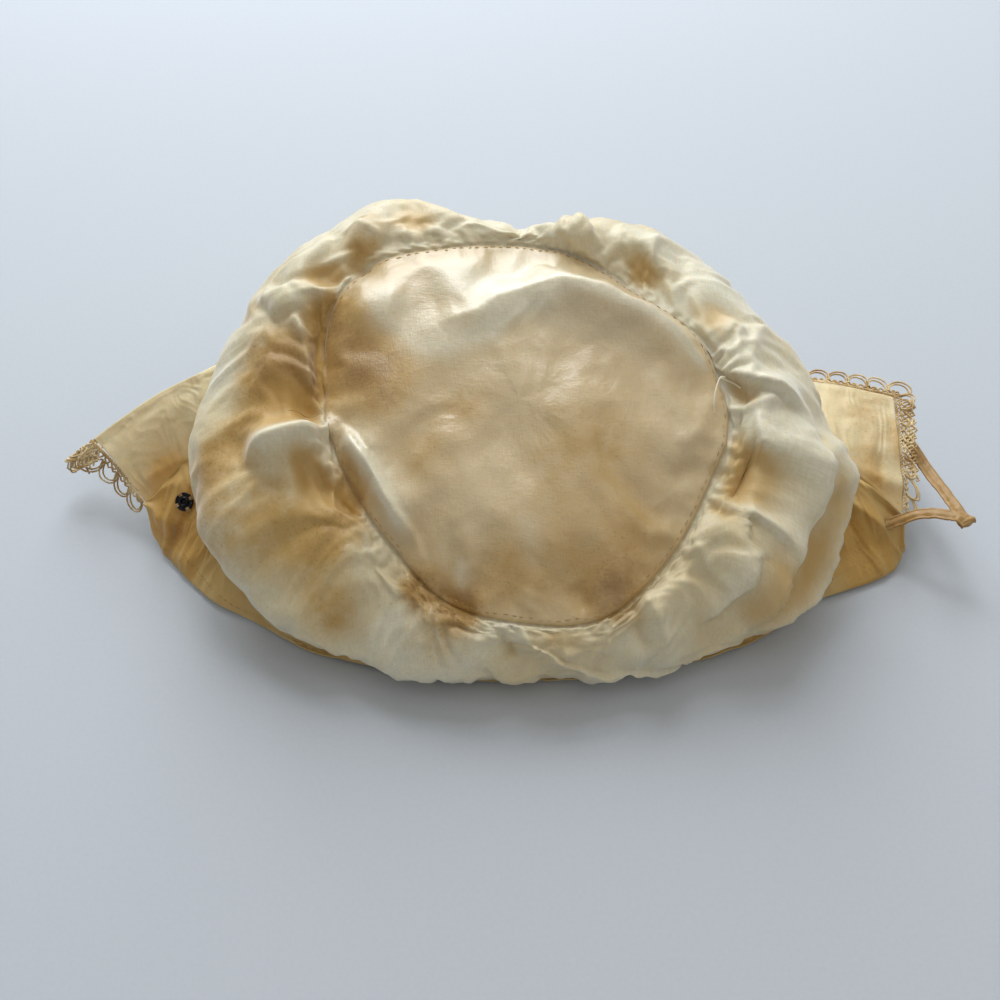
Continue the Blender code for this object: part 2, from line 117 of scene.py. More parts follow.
@dataclass(frozen=True)
class Waves:
    """A smooth random field over flat cloth: a sum of plane waves with seeded ways and phases.

    Its height swings about zero with a spread of about one.
    """

    seed: int
    length: float
    count: int = 10

    def at(self, place: Array) -> Array:
        """The field at these places.

        Args:
            place: points of the flat cloth, two numbers each.

        Returns:
            One height for each point: the sum of cos(k·p + phase), over the root of half the count.
        """
        chance = np.random.default_rng(self.seed)
        turn = chance.uniform(0.0, 2 * np.pi, self.count)
        size = 2 * np.pi / self.length * chance.uniform(0.65, 1.5, self.count)
        phase = chance.uniform(0.0, 2 * np.pi, self.count)
        ways = np.stack([np.cos(turn), np.sin(turn)]) * size
        return np.cos(place @ ways + phase).sum(axis=-1) / np.sqrt(self.count / 2)


def crumpled(seed: int, length: float, place: Array) -> Array:
    """Crushed cloth: a level less the size of a random field, so its ridges are sharp and its hollows round."""
    return CRUSH_LEVEL - np.abs(Waves(seed, length).at(place))


def pushed(place: Array, seed: int, length: float, push: float) -> Array:
    """The same points, pushed about in the flat by two random fields."""
    return place + np.stack([Waves(seed, length).at(place), Waves(seed + 1, length).at(place)], axis=-1) * push


def along_path(spots: Array, here: Array) -> tuple[Array, Array, Array, float]:
    """How points of the flat cloth lie to a path of straight runs.

    Args:
        spots: the path's corners.
        here: the points.

    Returns:
        Each point's distance from its nearest run, its distance to the left of that run and how far
        along the path it lies, and the path's whole length.
    """
    runs = np.diff(spots, axis=0)
    lengths = np.linalg.norm(runs, axis=1)
    starts = np.concatenate([[0.0], np.cumsum(lengths)])
    off = np.full(here.shape[:-1], FAR_OFF)
    side, travelled = np.zeros(off.shape), np.zeros(off.shape)
    for spot, run, length, start in zip(spots, runs, lengths, starts):
        from_spot = here - spot
        share = np.clip((from_spot @ run) / (run @ run), 0.0, 1.0)
        gap = np.linalg.norm(from_spot - share[..., None] * run, axis=-1)
        left = (run[0] * from_spot[..., 1] - run[1] * from_spot[..., 0]) / length
        nearer = gap < off
        off = np.where(nearer, gap, off)
        side = np.where(nearer, left, side)
        travelled = np.where(nearer, start + share * length, travelled)
    return off, side, travelled, starts[-1]


def sharp_ridge(off: Array, width: float) -> Array:
    """exp(-d / width) of the distance d from a crease, with its tip slightly rounded."""
    return np.exp(-(np.sqrt(off**2 + TIP_ROUND) - TIP_DROP) / width)


# Shapes that a mesh is made from


def grid_quads(rows: int, columns: int, closed: bool) -> Array:
    """The quads of a grid of points, each facing the side that row ways cross column ways give.

    Args:
        rows: how many rows of points, in the order of the points.
        columns: how many points in a row.
        closed: whether a row's last point joins its first.

    Returns:
        Four point numbers for each quad.
    """
    row = np.arange(rows - 1)[:, None] * columns
    column = np.arange(columns if closed else columns - 1)[None, :]
    after = (column + 1) % columns
    quads = np.stack([row + column, row + columns + column, row + columns + after, row + after], axis=-1)
    return quads.reshape(-1, 4)


def tubes(paths: Array, faces: Array, radius: Array, sides: int) -> tuple[Array, list]:
    """Closed tubes: a ring carried along each path, at right angles to it.

    A ring's point is path + radius (cos a · side + sin a · up), where side is the path's way crossed
    with the direction that its face looks.

    Args:
        paths: points of each path, tubes × points × 3.
        faces: the direction that the path's own plane faces, in the same shape.
        radius: one number for each ring's point, or anything that fits tubes × points × sides.
        sides: how many points a ring has.

    Returns:
        The points, and the faces as lists of point numbers.
    """
    count, length = paths.shape[:2]
    way = unit(np.gradient(paths, axis=1))
    side = unit(np.cross(way, faces))
    up = np.cross(side, way)
    turn = np.arange(sides) * 2 * np.pi / sides
    ring = np.cos(turn)[:, None] * side[:, :, None] + np.sin(turn)[:, None] * up[:, :, None]
    size = np.broadcast_to(radius, (count, length, sides))[..., None]
    points = (paths[:, :, None] + ring * size).reshape(-1, 3)
    walls = grid_quads(length, sides, True)[:, ::-1]
    start = (np.arange(count) * length * sides)[:, None, None]
    first = np.arange(sides)[None, :] + start[:, 0]
    last = first[:, ::-1] + (length - 1) * sides
    quads = (walls[None] + start).reshape(-1, 4)
    return points, quads.tolist() + first.tolist() + last.tolist()


def new_piece(name: str, points: Array, faces: list, finish: bpy.types.Material) -> bpy.types.Object:
    """A smooth mesh object at the origin, riding on the bonnet.

    Args:
        name: the piece's name.
        points: its points in millimetres.
        faces: lists of point numbers.
        finish: its material.

    Returns:
        The new object.
    """
    mesh = bpy.data.meshes.new(name)
    mesh.from_pydata((points * MM).tolist(), [], faces)
    mesh.materials.append(finish)
    mesh.shade_smooth()
    piece = bpy.data.objects.new(name, mesh)
    bpy.context.scene.collection.objects.link(piece)
    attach(piece, BODY)
    return piece


def give_uv(piece: bpy.types.Object, flat: Array) -> None:
    """Lays each point's place in the flat cloth, in metres, into a UV map.

    Args:
        piece: the mesh object.
        flat: two millimetre numbers for each point.
    """
    mesh = piece.data
    corner = np.empty(len(mesh.loops), np.int32)
    mesh.loops.foreach_get("vertex_index", corner)
    layer = mesh.uv_layers.new(name="cloth")
    layer.data.foreach_set("uv", (flat[corner] * MM).astype(np.float32).ravel())


def give_marks(piece: bpy.types.Object, marks: Array) -> None:
    """Keeps the ochre, brown, painted fold-shade and painted sheen weights of each point as a colour attribute.

    Args:
        piece: the mesh object.
        marks: four weights for each point, from 0 to 1.
    """
    layer = piece.data.color_attributes.new(name="marks", type="FLOAT_COLOR", domain="POINT")
    layer.data.foreach_set("color", marks.astype(np.float32).ravel())


def add_wall(piece: bpy.types.Object, thickness: float, offset: float = -1.0) -> None:
    """Gives an open cloth surface its thickness in millimetres: all on the inner side, or half at offset 0."""
    wall = piece.modifiers.new("wall", "SOLIDIFY")
    wall.thickness = thickness * MM
    wall.offset = offset
    wall.use_rim = True


def tone(red: int, green: int, blue: int) -> Colour:
    """A screen colour from 0 to 255 as the linear light that a shader takes."""
    shares = (red / 255.0, green / 255.0, blue / 255.0)
    return tuple(s / 12.92 if s <= 0.04045 else ((s + 0.055) / 1.055) ** 2.4 for s in shares)


# Finishes


@dataclass
class Shading:
    """A material's node tree, with short ways to add and join its nodes."""

    name: str
    material: bpy.types.Material = field(init=False)

    def __post_init__(self) -> None:
        """Makes the material, whose node tree starts as one shader and its output."""
        self.material = bpy.data.materials.new(self.name)
        self.material.use_nodes = True

    @property
    def shader(self) -> bpy.types.Node:
        """The material's main shader."""
        return self.material.node_tree.nodes["Principled BSDF"]

    def add(self, kind: str, **values: object) -> bpy.types.Node:
        """A new node with these settings.

        Args:
            kind: Blender's name for the node.
            values: settings of the node, or of an input socket where the node has no such setting.

        Returns:
            The node.
        """
        node = self.material.node_tree.nodes.new(kind)
        for key, value in values.items():
            if hasattr(node, key):
                setattr(node, key, value)
            else:
                node.inputs[key.replace("_", " ")].default_value = value
        return node

    def join(self, start: Socket, end: Socket) -> None:
        """Links one socket to another."""
        self.material.node_tree.links.new(start, end)

    def set(self, **values: object) -> None:
        """Sets the shader's own sockets, by name with underscores for spaces."""
        for key, value in values.items():
            self.shader.inputs[key.replace("_", " ")].default_value = value

    def maths(self, action: str, first: object, second: object) -> Socket:
        """The result of a sum on two sockets or numbers."""
        node = self.add("ShaderNodeMath", operation=action)
        for socket, value in zip(node.inputs, (first, second)):
            if isinstance(value, Socket):
                self.join(value, socket)
            else:
                socket.default_value = value
        return node.outputs[0]

    def noise(self, place: Socket, scale: float, detail: float = 3.0, rough: float = 0.55) -> Socket:
        """A cloudy pattern from 0 to 1, with this many clouds to the metre."""
        node = self.add("ShaderNodeTexNoise", Scale=scale, Detail=detail, Roughness=rough)
        self.join(place, node.inputs["Vector"])
        return node.outputs["Fac"]

    def span(self, value: Socket, low: float, high: float, first: float, last: float) -> Socket:
        """The value moved smoothly from low..high to first..last, and held at the ends."""
        node = self.add("ShaderNodeMapRange", interpolation_type="SMOOTHSTEP")
        for socket, number in zip(("From Min", "From Max", "To Min", "To Max"), (low, high, first, last)):
            node.inputs[socket].default_value = number
        self.join(value, node.inputs["Value"])
        return node.outputs["Result"]

    def blend(self, share: Socket, first: object, second: object) -> Socket:
        """The first colour, turning into the second as the share goes from 0 to 1."""
        node = self.add("ShaderNodeMix", data_type="RGBA")
        self.join(share, node.inputs["Factor"])
        for socket, value in ((node.inputs[6], first), (node.inputs[7], second)):
            if isinstance(value, Socket):
                self.join(value, socket)
            else:
                socket.default_value = (*value, 1.0)
        return node.outputs[2]

    def bump(self, height: Socket, depth: float, strength: float, before: Socket | None = None) -> Socket:
        """A relief of this depth in millimetres, on top of another one where it is given."""
        node = self.add("ShaderNodeBump", Strength=strength, Distance=depth * MM)
        self.join(height, node.inputs["Height"])
        if before:
            self.join(before, node.inputs["Normal"])
        return node.outputs["Normal"]


@dataclass(frozen=True)
class SilkFinish:
    """Old silk: two close tones, ochre and brown age stains, brown specks, painted fold shade and painted sheen, satin
    threads and fine crumples.
    """

    name: str
    pale: Colour
    deep: Colour
    ochre: Colour = tone(192, 152, 74)
    brown: Colour = tone(140, 104, 50)
    fold_shade: Colour = tone(200, 162, 92)
    # painted sheen: the near-white tone that the silk is painted towards along its ridges
    wear_and_sheen: Colour = tone(248, 241, 220)
    glow: Colour = tone(232, 196, 128)
    through: float = 0.06
    roughness: float = 0.5
    sheen: float = 0.3
    gloss: float = 0.5
    index: float = 1.5
    soft: float = 0.35
    grain: float = 0.55
    crumple: float = 0.35
    specks: float = 0.45
    threads: float = 2100.0
    # clouds to the metre of the tones, the stains' ragged edges, the freckles and the crumples
    clouds: float = 26.0
    mottling: float = 210.0
    freckles: float = 1150.0
    crumpling: float = 150.0
    # how far the painted sheen and the painted fold shade cover the stained silk
    sheen_cover: float = 0.65
    shade_cover: float = 0.8

    def material(self) -> bpy.types.Material:
        """The finish as a material that reads object places, the cloth's UV map and its marks."""
        make = Shading(self.name)
        place = make.add("ShaderNodeTexCoord").outputs["Object"]
        cloth = make.add("ShaderNodeUVMap", uv_map="cloth").outputs["UV"]
        marks = make.add("ShaderNodeSeparateColor")
        painted = make.add("ShaderNodeAttribute", attribute_name="marks")
        make.join(painted.outputs["Color"], marks.inputs[0])
        ochre_mark, brown_mark, shade_mark = (marks.outputs[index] for index in range(3))

        cloud = make.noise(place, self.clouds, 4.0)
        mottle = make.noise(place, self.mottling, 5.0, 0.65)
        base = make.blend(make.span(cloud, 0.35, 0.68, 0.0, 1.0), self.pale, self.deep)

        rag = make.maths("ADD", make.maths("MULTIPLY", mottle, 1.2), 0.4)
        ochre_share = make.span(make.maths("MULTIPLY", ochre_mark, rag), 0.12, 0.85, 0.0, 0.85)
        brown_share = make.span(make.maths("MULTIPLY", brown_mark, rag), 0.25, 1.0, 0.0, 0.8)
        stained = make.blend(ochre_share, base, self.ochre)
        stained = make.blend(brown_share, stained, self.brown)

        freckle = make.noise(place, self.freckles, 3.0, 0.55)
        near = make.maths("ADD", make.maths("MULTIPLY", brown_mark, 0.2), make.maths("MULTIPLY", ochre_mark, 0.06))
        freckle_share = make.span(make.maths("ADD", freckle, near), 0.68, 0.84, 0.0, self.specks)
        stained = make.blend(freckle_share, stained, self.brown)
        # Painted sheen: the marks' alpha lightens the silk towards a near-white tone along the ridges; the fold-shade
        # weight then paints shade into the valleys.
        sheen_mark = painted.outputs["Alpha"]
        stained = make.blend(make.maths("MULTIPLY", sheen_mark, self.sheen_cover), stained, self.wear_and_sheen)
        shaded = make.blend(make.maths("MULTIPLY", shade_mark, self.shade_cover), stained, self.fold_shade)
        weft = self.thread_pattern(make, cloth, (1.0, 0.2, 1.0))
        warp = self.thread_pattern(make, cloth, (0.25, 1.0, 1.0))
        weave = make.maths("MULTIPLY", make.maths("ADD", weft, warp), 0.5)
        shaded = make.blend(make.span(weave, 0.36, 0.64, 0.2, 0.0), shaded, self.ochre)
        make.join(shaded, make.shader.inputs["Base Color"])
        crush = make.noise(place, self.crumpling, 4.0, 0.6)
        relief = make.bump(crush, 0.9, self.crumple)
        relief = make.bump(weave, 0.2, self.grain, relief)
        make.join(relief, make.shader.inputs["Normal"])
        rough = make.span(weave, 0.3, 0.7, self.roughness - 0.07, self.roughness + 0.09)
        make.join(rough, make.shader.inputs["Roughness"])
        make.set(Sheen_Weight=self.sheen, Sheen_Roughness=0.4, Specular_IOR_Level=self.gloss, IOR=self.index)
        make.set(Subsurface_Weight=self.soft, Subsurface_Radius=(1.0, 0.62, 0.3), Subsurface_Scale=0.0016)

        thin = make.add("ShaderNodeBsdfTranslucent", Color=(*self.glow, 1.0))
        make.join(relief, thin.inputs["Normal"])
        mixed = make.add("ShaderNodeMixShader", Fac=self.through)
        make.join(make.shader.outputs[0], mixed.inputs[1])
        make.join(thin.outputs[0], mixed.inputs[2])
        make.join(mixed.outputs[0], make.material.node_tree.nodes["Material Output"].inputs["Surface"])
        return make.material

    def thread_pattern(self, make: Shading, cloth: Socket, scale: tuple[float, float, float]) -> Socket:
        """A cloudy pattern drawn out into threads along one way of the cloth.

        Args:
            make: the material's nodes.
            cloth: the cloth's UV map.
            scale: how far the pattern is drawn out each way.

        Returns:
            The pattern, from 0 to 1.
        """
        stretch = make.add("ShaderNodeMapping", Scale=scale)
        make.join(cloth, stretch.inputs["Vector"])
        return make.noise(stretch.outputs["Vector"], self.threads, 2.0, 0.6)


@dataclass(frozen=True)
class YarnFinish:
    """Aged cotton or silk thread: two tones in patches, and fine hairs along the twist."""

    name: str
    pale: Colour
    deep: Colour
    roughness: float = 0.8

    def material(self) -> bpy.types.Material:
        """The finish as a material that reads object places."""
        make = Shading(self.name)
        place = make.add("ShaderNodeTexCoord").outputs["Object"]
        patch = make.noise(place, 190.0, 4.0, 0.6)
        mixed = make.blend(make.span(patch, 0.36, 0.64, 0.0, 1.0), self.pale, self.deep)
        make.join(mixed, make.shader.inputs["Base Color"])
        hair = make.noise(place, 5200.0, 3.0, 0.7)
        make.join(make.bump(hair, 0.15, 0.5), make.shader.inputs["Normal"])
        rough = make.span(hair, 0.3, 0.7, self.roughness - 0.1, self.roughness + 0.1)
        make.join(rough, make.shader.inputs["Roughness"])
        make.set(Sheen_Weight=0.3, Specular_IOR_Level=0.25)
        return make.material


@dataclass(frozen=True)
class MetalFinish:
    """The stud's japanned brass: near black, worn to dull metal in specks."""

    name: str
    dark: Colour
    wear_and_sheen: Colour

    def material(self) -> bpy.types.Material:
        """The finish as a material that reads object places."""
        make = Shading(self.name)
        place = make.add("ShaderNodeTexCoord").outputs["Object"]
        wear = make.noise(place, 1500.0, 4.0, 0.7)
        mixed = make.blend(make.span(wear, 0.52, 0.66, 0.0, 0.8), self.dark, self.wear_and_sheen)
        make.join(mixed, make.shader.inputs["Base Color"])
        make.join(make.span(wear, 0.35, 0.65, 0.28, 0.55), make.shader.inputs["Roughness"])
        make.join(make.bump(wear, 0.05, 0.4), make.shader.inputs["Normal"])
        make.set(Metallic=0.7)
        return make.material


# The bonnet's form and its folds


@dataclass(frozen=True)
class BonnetForm:
    """The smooth crown and side band, before any fold: a closed table of sections round the crown's middle."""

    centre: tuple[float, float] = (2.8, -15.3)
    dome: float = 7.5
    dome_power: float = 2.3
    spread: float = 50.0
    # seam_r seam_z crest_r crest_z side_r side_z hem_r hem_z, every 22.5 degrees from angle 0
    sections: tuple[tuple[float, ...], ...] = (
        (55.0, 46.0, 65.0, 48.5, 85.0, 31.0, 77.0, 13.0),
        (52.5, 53.8, 62.0, 56.2, 82.0, 40.0, 74.0, 20.0),
        (46.5, 60.8, 57.0, 65.2, 76.0, 52.0, 69.0, 33.0),
        (45.6, 66.0, 54.0, 71.2, 74.0, 58.0, 67.0, 40.0),
        (47.0, 67.5, 52.0, 68.6, 71.0, 51.0, 67.0, 41.0),
        (48.5, 68.0, 60.0, 72.3, 77.5, 58.5, 70.0, 42.0),
        (57.5, 65.0, 69.5, 69.6, 84.0, 54.0, 76.0, 36.0),
        (57.0, 56.2, 71.0, 59.4, 85.0, 44.0, 78.0, 26.0),
        (50.5, 46.5, 64.5, 49.6, 85.5, 34.0, 78.0, 15.0),
        (47.0, 39.0, 59.0, 38.8, 79.0, 20.0, 73.0, 7.0),
        (45.4, 31.6, 54.0, 29.6, 66.5, 12.0, 60.5, 2.6),
        (48.2, 25.0, 53.0, 22.8, 60.0, 10.0, 54.5, 2.2),
        (48.8, 22.4, 52.2, 20.0, 54.8, 11.0, 50.5, 2.2),
        (52.0, 22.6, 55.6, 20.4, 58.5, 9.0, 53.5, 2.2),
        (51.2, 28.6, 57.5, 27.6, 66.5, 10.0, 60.5, 2.6),
        (51.4, 37.0, 60.0, 38.0, 80.0, 14.0, 74.0, 4.6),
    )

    def section(self, angle: Array) -> Array:
        """The radii and heights of the section at a plan angle."""
        return smooth_rows(self.sections, np.mod(angle, 360.0) / 360.0 * len(self.sections), True)

    def plan(self, angle: Array, radius: Array, height: Array) -> Array:
        """Points from a plan angle, a radius about the crown's middle and a height."""
        turn = np.radians(angle)
        x = self.centre[0] + radius * np.cos(turn)
        y = self.centre[1] + radius * np.sin(turn)
        return np.stack([x, y, height + 0.0 * turn], axis=-1)

    def point(self, angle: Array, reach: Array) -> Array:
        """The smooth surface.

        Inside the seam it is a cone to the mean seam height with a dome of 1 - reach^power on it.
        Outside it is a cubic curve over crest and side to the hem.

        Args:
            angle: plan angles in degrees.
            reach: 0 in the middle, 1 at the seam, 2 at the hem.

        Returns:
            Points in millimetres.
        """
        section = self.section(angle)
        middle = np.mean([row[1] for row in self.sections])
        inside = np.minimum(reach, 1.0)
        rise = middle + (section[..., 1] - middle) * inside + self.dome * (1 - inside**self.dome_power)
        crown = self.plan(angle, section[..., 0] * inside, rise)
        position = np.clip(reach - 1.0, 0.0, 1.0) * 3
        row = np.minimum(np.floor(position).astype(int), 2)
        part = (position - row)[..., None]
        knots = section.reshape(section.shape[:-1] + (4, 2))
        picked = []
        for step in (-1, 0, 1, 2):
            index = np.clip(row + step, 0, 3)[..., None, None]
            picked.append(np.take_along_axis(knots, np.broadcast_to(index, index.shape[:-1] + (2,)), -2)[..., 0, :])
        side = cubic(*picked, part)
        return np.where((reach > 1.0)[..., None], self.plan(angle, side[..., 0], side[..., 1]), crown)

    def normal(self, angle: Array, reach: Array) -> Array:
        """The outward direction of the smooth surface: its outward way crossed with its way round."""
        step = 1e-3
        inner = np.clip(reach, 0.02, 2.0 - step)
        out = self.point(angle, inner + step) - self.point(angle, inner - step)
        round_it = self.point(angle + 0.1, inner) - self.point(angle - 0.1, inner)
        return unit(np.cross(out, round_it))

    def chart(self, angle: Array, reach: Array) -> Array:
        """Where a point of the cloth lies when the whole bonnet is spread out flat."""
        turn = np.radians(angle)
        return self.spread * reach[..., None] * np.stack([np.cos(turn), np.sin(turn)], axis=-1)


class Edge(Enum):
    """How a fold's cross-section looks."""

    ROUND = "round"
    SHARP = "sharp"
    LAPPED = "lapped"


@dataclass(frozen=True)
class Fold:
    """One fold of the cloth, along a path of (angle, reach) points. A negative height is a valley."""

    path: tuple[tuple[float, float], ...]
    width: float
    height: float
    edge: Edge = Edge.ROUND

    def lift(self, form: BonnetForm, here: Array) -> Array:
        """How far this fold lifts each point of the flat cloth.

        With d the distance from the path, a round fold is h exp(-(d/w)²), a sharp one h exp(-d/w) with
        a slightly rounded tip, and a lapped one falls steeply to the right of its path.

        Args:
            form: the bonnet's form, whose chart the path is laid out on.
            here: points of the flat cloth.

        Returns:
            One height for each point, faded out over the path's ends.
        """
        path = np.array(self.path, float)
        off, side, travelled, whole = along_path(form.chart(path[:, 0], path[:, 1]), here)
        fade = min(0.3 * whole, 2.0 * self.width) + 1e-6
        ends = ease(-0.25 * fade, fade, np.minimum(travelled, whole - travelled))
        if self.edge is Edge.ROUND:
            shape = np.exp(-((off / self.width) ** 2))
        elif self.edge is Edge.SHARP:
            shape = sharp_ridge(off, self.width)
        else:
            shape = np.exp(-((off / self.width) ** 2)) * ease(-0.9, 0.3, side)
        return self.height * shape * ends


ROUND_FOLDS = (
    Fold(((89, 0.60), (62, 0.72), (36, 0.82), (12, 0.88)), 7, 3.0),
    Fold(((150, 0.90), (140, 0.66)), 6, 2.0),
    Fold(((183, 0.90), (205, 0.85), (229, 0.87)), 6, 2.5),
    Fold(((189, 1.45), (186, 1.10)), 8, 5.0),
    Fold(((190, 1.60), (206, 1.55)), 7, 3.5),
    Fold(((3, 1.48), (349, 1.50), (324, 1.60)), 7, 4.0),
    Fold(((17, 1.12), (4, 1.45)), 6, 3.0),
    Fold(((27, 1.10), (22, 1.37)), 6, 2.5),
    Fold(((75, 1.12), (67, 1.30)), 6, 2.5),
    Fold(((134, 1.27), (129, 1.12)), 6, 2.5),
    Fold(((158, 1.22), (150, 1.30)), 6, 2.5),
    Fold(((281, 1.45), (314, 1.62)), 6, 1.5),
    Fold(((303, 1.08), (306, 1.40)), 6, 1.5),
    Fold(((148, 0.80), (135, 0.50), (105, 0.45)), 8, -1.4),
    Fold(((197, 1.32), (200, 1.10)), 7, -5.0),
    Fold(((178, 1.35), (177, 1.05)), 6, -2.5),
    Fold(((200, 1.12), (211, 1.02)), 6, -2.5),
    Fold(((337, 1.30), (352, 1.32)), 7, -4.0),
    Fold(((24, 1.10), (29, 1.45)), 6, -2.5),
    Fold(((49, 1.10), (48, 1.30)), 6, -3.0),
    Fold(((142, 1.20), (146, 1.08)), 6, -3.0),
    Fold(((118, 1.15), (118, 1.45)), 6, -2.0),
    Fold(((282, 1.05), (282, 1.40)), 6, -1.8),
)

# Finer folds than the solids carry: the crown's long ridge, the right side, the nape, the left side, the far side,
# and last the crown's edge and the low left
FINE_FOLDS = (
    Fold(((142, 1.03), (144, 0.82), (145, 0.62), (139, 0.47), (122, 0.47), (104, 0.53), (87, 0.58),
          (70, 0.70), (53, 0.77), (37, 0.83), (23, 0.88), (11, 0.95)), 7.0, 2.4),
    Fold(((138, 0.48), (121, 0.48), (104, 0.55), (87, 0.60), (70, 0.70), (53, 0.78), (38, 0.85), (23, 0.88),
          (13, 0.95)), 2.2, 0.8, Edge.SHARP),
    Fold(((323, 1.63), (330, 1.57), (336, 1.53), (340, 1.53), (347, 1.53), (350, 1.52), (356, 1.50),
          (361, 1.47)), 6.0, 5.0, Edge.LAPPED),
    Fold(((331, 1.62), (336, 1.62), (342, 1.60), (347, 1.60), (352, 1.62), (357, 1.60)), 4.2, -2.6),
    Fold(((324, 1.65), (332, 1.65), (339, 1.73), (345, 1.70), (349, 1.68), (354, 1.68), (360, 1.67),
          (365, 1.65)), 4.5, 3.6, Edge.LAPPED),
    Fold(((359, 1.23), (351, 1.28), (344, 1.33), (337, 1.35), (338, 1.43), (338, 1.48),
          (337, 1.53)), 4.5, 3.6, Edge.LAPPED),
    Fold(((358, 0.98), (351, 1.13), (344, 1.25), (339, 1.28)), 4.0, -2.2),
    Fold(((335, 1.40), (335, 1.47), (333, 1.52), (328, 1.55), (322, 1.58)), 4.2, -3.0),
    Fold(((315, 1.53), (321, 1.50), (328, 1.47), (332, 1.43), (332, 1.38)), 5.0, 3.4, Edge.LAPPED),
    Fold(((1, 1.52), (-2, 1.50), (-5, 1.50)), 1.0, -2.0, Edge.SHARP),
    Fold(((336, 1.05), (334, 1.28), (336, 1.35)), 1.4, -1.6, Edge.SHARP),
    Fold(((317, 1.22), (314, 1.38), (314, 1.48)), 2.2, 1.6, Edge.SHARP),
    Fold(((326, 1.08), (323, 1.30), (322, 1.38)), 1.6, 1.4, Edge.SHARP),
    Fold(((19, 1.07), (17, 1.20), (18, 1.35), (26, 1.52)), 2.4, 2.4, Edge.SHARP),
    Fold(((15, 1.02), (7, 1.22), (4, 1.37), (4, 1.48)), 3.0, 3.0, Edge.LAPPED),
    Fold(((3, 0.98), (1, 1.18), (3, 1.37)), 2.0, 1.8, Edge.SHARP),
    Fold(((11, 1.05), (4, 1.18), (2, 1.30)), 3.4, -2.4),
    Fold(((354, 0.93), (352, 1.08), (345, 1.27)), 2.0, 1.5, Edge.SHARP),
    Fold(((346, 0.95), (345, 1.07), (339, 1.25)), 1.8, -1.5, Edge.SHARP),
    Fold(((306, 1.13), (306, 1.40), (307, 1.53)), 2.0, 1.7, Edge.SHARP),
    Fold(((303, 1.00), (301, 1.38), (302, 1.52)), 1.8, -1.5, Edge.SHARP),
    Fold(((294, 0.97), (293, 1.37), (292, 1.48)), 1.8, 1.4, Edge.SHARP),
    Fold(((312, 1.70), (303, 1.70), (290, 1.60), (281, 1.47), (273, 1.33), (268, 0.97)), 3.4, 1.6, Edge.LAPPED),
    Fold(((267, 1.35), (268, 1.53)), 1.6, -1.7, Edge.SHARP),
    Fold(((282, 0.98), (282, 1.47)), 1.8, 1.4, Edge.SHARP),
    Fold(((189, 1.43), (188, 1.38), (187, 1.25), (183, 1.00), (186, 0.93)), 3.0, 3.7, Edge.SHARP),
    Fold(((191, 1.35), (194, 1.23), (197, 1.13), (204, 1.10), (212, 1.10)), 3.0, -0.8),
    Fold(((198, 1.13), (205, 1.10), (212, 1.03)), 1.5, -1.2, Edge.SHARP),
    Fold(((182, 1.40), (182, 1.25), (178, 1.03)), 5.0, -2.2),
    Fold(((151, 1.13), (157, 1.02), (166, 0.97), (176, 1.00)), 1.8, -3.1, Edge.SHARP),
    Fold(((156, 1.20), (161, 1.12), (167, 1.08), (175, 1.07)), 2.6, 2.0, Edge.SHARP),
    Fold(((231, 0.88), (220, 0.85), (210, 0.83), (199, 0.83), (189, 0.87), (183, 0.92)), 4.0, 3.0, Edge.LAPPED),
    Fold(((135, 1.30), (131, 1.28), (129, 1.20), (129, 1.12)), 2.0, 2.2, Edge.SHARP),
    Fold(((153, 1.23), (149, 1.15), (146, 1.03)), 2.0, 2.2, Edge.SHARP),
    Fold(((157, 1.22), (159, 1.15), (162, 1.13)), 1.8, 2.0, Edge.SHARP),
    Fold(((146, 1.28), (145, 1.15), (144, 1.02)), 3.0, -1.6),
    Fold(((138, 1.12), (137, 1.00), (140, 0.98)), 1.6, -1.7, Edge.SHARP),
    Fold(((124, 1.10), (122, 1.17), (122, 1.27)), 1.8, 1.5, Edge.SHARP),
    Fold(((115, 1.12), (113, 1.18)), 2.1, 0.8, Edge.SHARP),
    Fold(((77, 1.08), (71, 1.22), (68, 1.35)), 3.4, 0.7, Edge.SHARP),
    Fold(((84, 1.13), (78, 1.20), (72, 1.33)), 3.0, 0.5, Edge.SHARP),
    Fold(((47, 1.12), (48, 1.27), (55, 1.50)), 2.1, 1.2, Edge.SHARP),
    Fold(((53, 1.08), (48, 1.10), (46, 1.05)), 2.1, -1.9, Edge.SHARP),
    Fold(((30, 1.13), (24, 1.13), (19, 1.12)), 2.1, 1.2, Edge.SHARP),
    Fold(((242, 0.68), (249, 0.75), (254, 0.88)), 3.4, 0.9),
    Fold(((259, 0.93), (257, 0.83), (258, 0.72)), 3.0, -0.7),
    Fold(((272, 0.95), (274, 0.85)), 3.0, 0.5),
    Fold(((290, 0.95), (288, 0.83)), 2.6, -1.0),
    Fold(((243, 0.97), (250, 0.98), (257, 0.98)), 1.4, -2.2, Edge.SHARP),
    Fold(((356, 0.90), (353, 0.83), (347, 0.77)), 2.2, 0.8),
    Fold(((345, 0.93), (342, 0.87), (335, 0.82)), 2.2, -0.8),
    Fold(((325, 0.98), (321, 0.88), (314, 0.85)), 2.2, 0.8),
    Fold(((198, 1.52), (214, 1.55), (230, 1.58)), 14.0, 1.5),
    Fold(((213, 1.45), (220, 1.52), (226, 1.58)), 4.0, -1.0),
    Fold(((174, 1.53), (181, 1.55), (189, 1.58), (196, 1.57)), 4.0, 1.5),
)
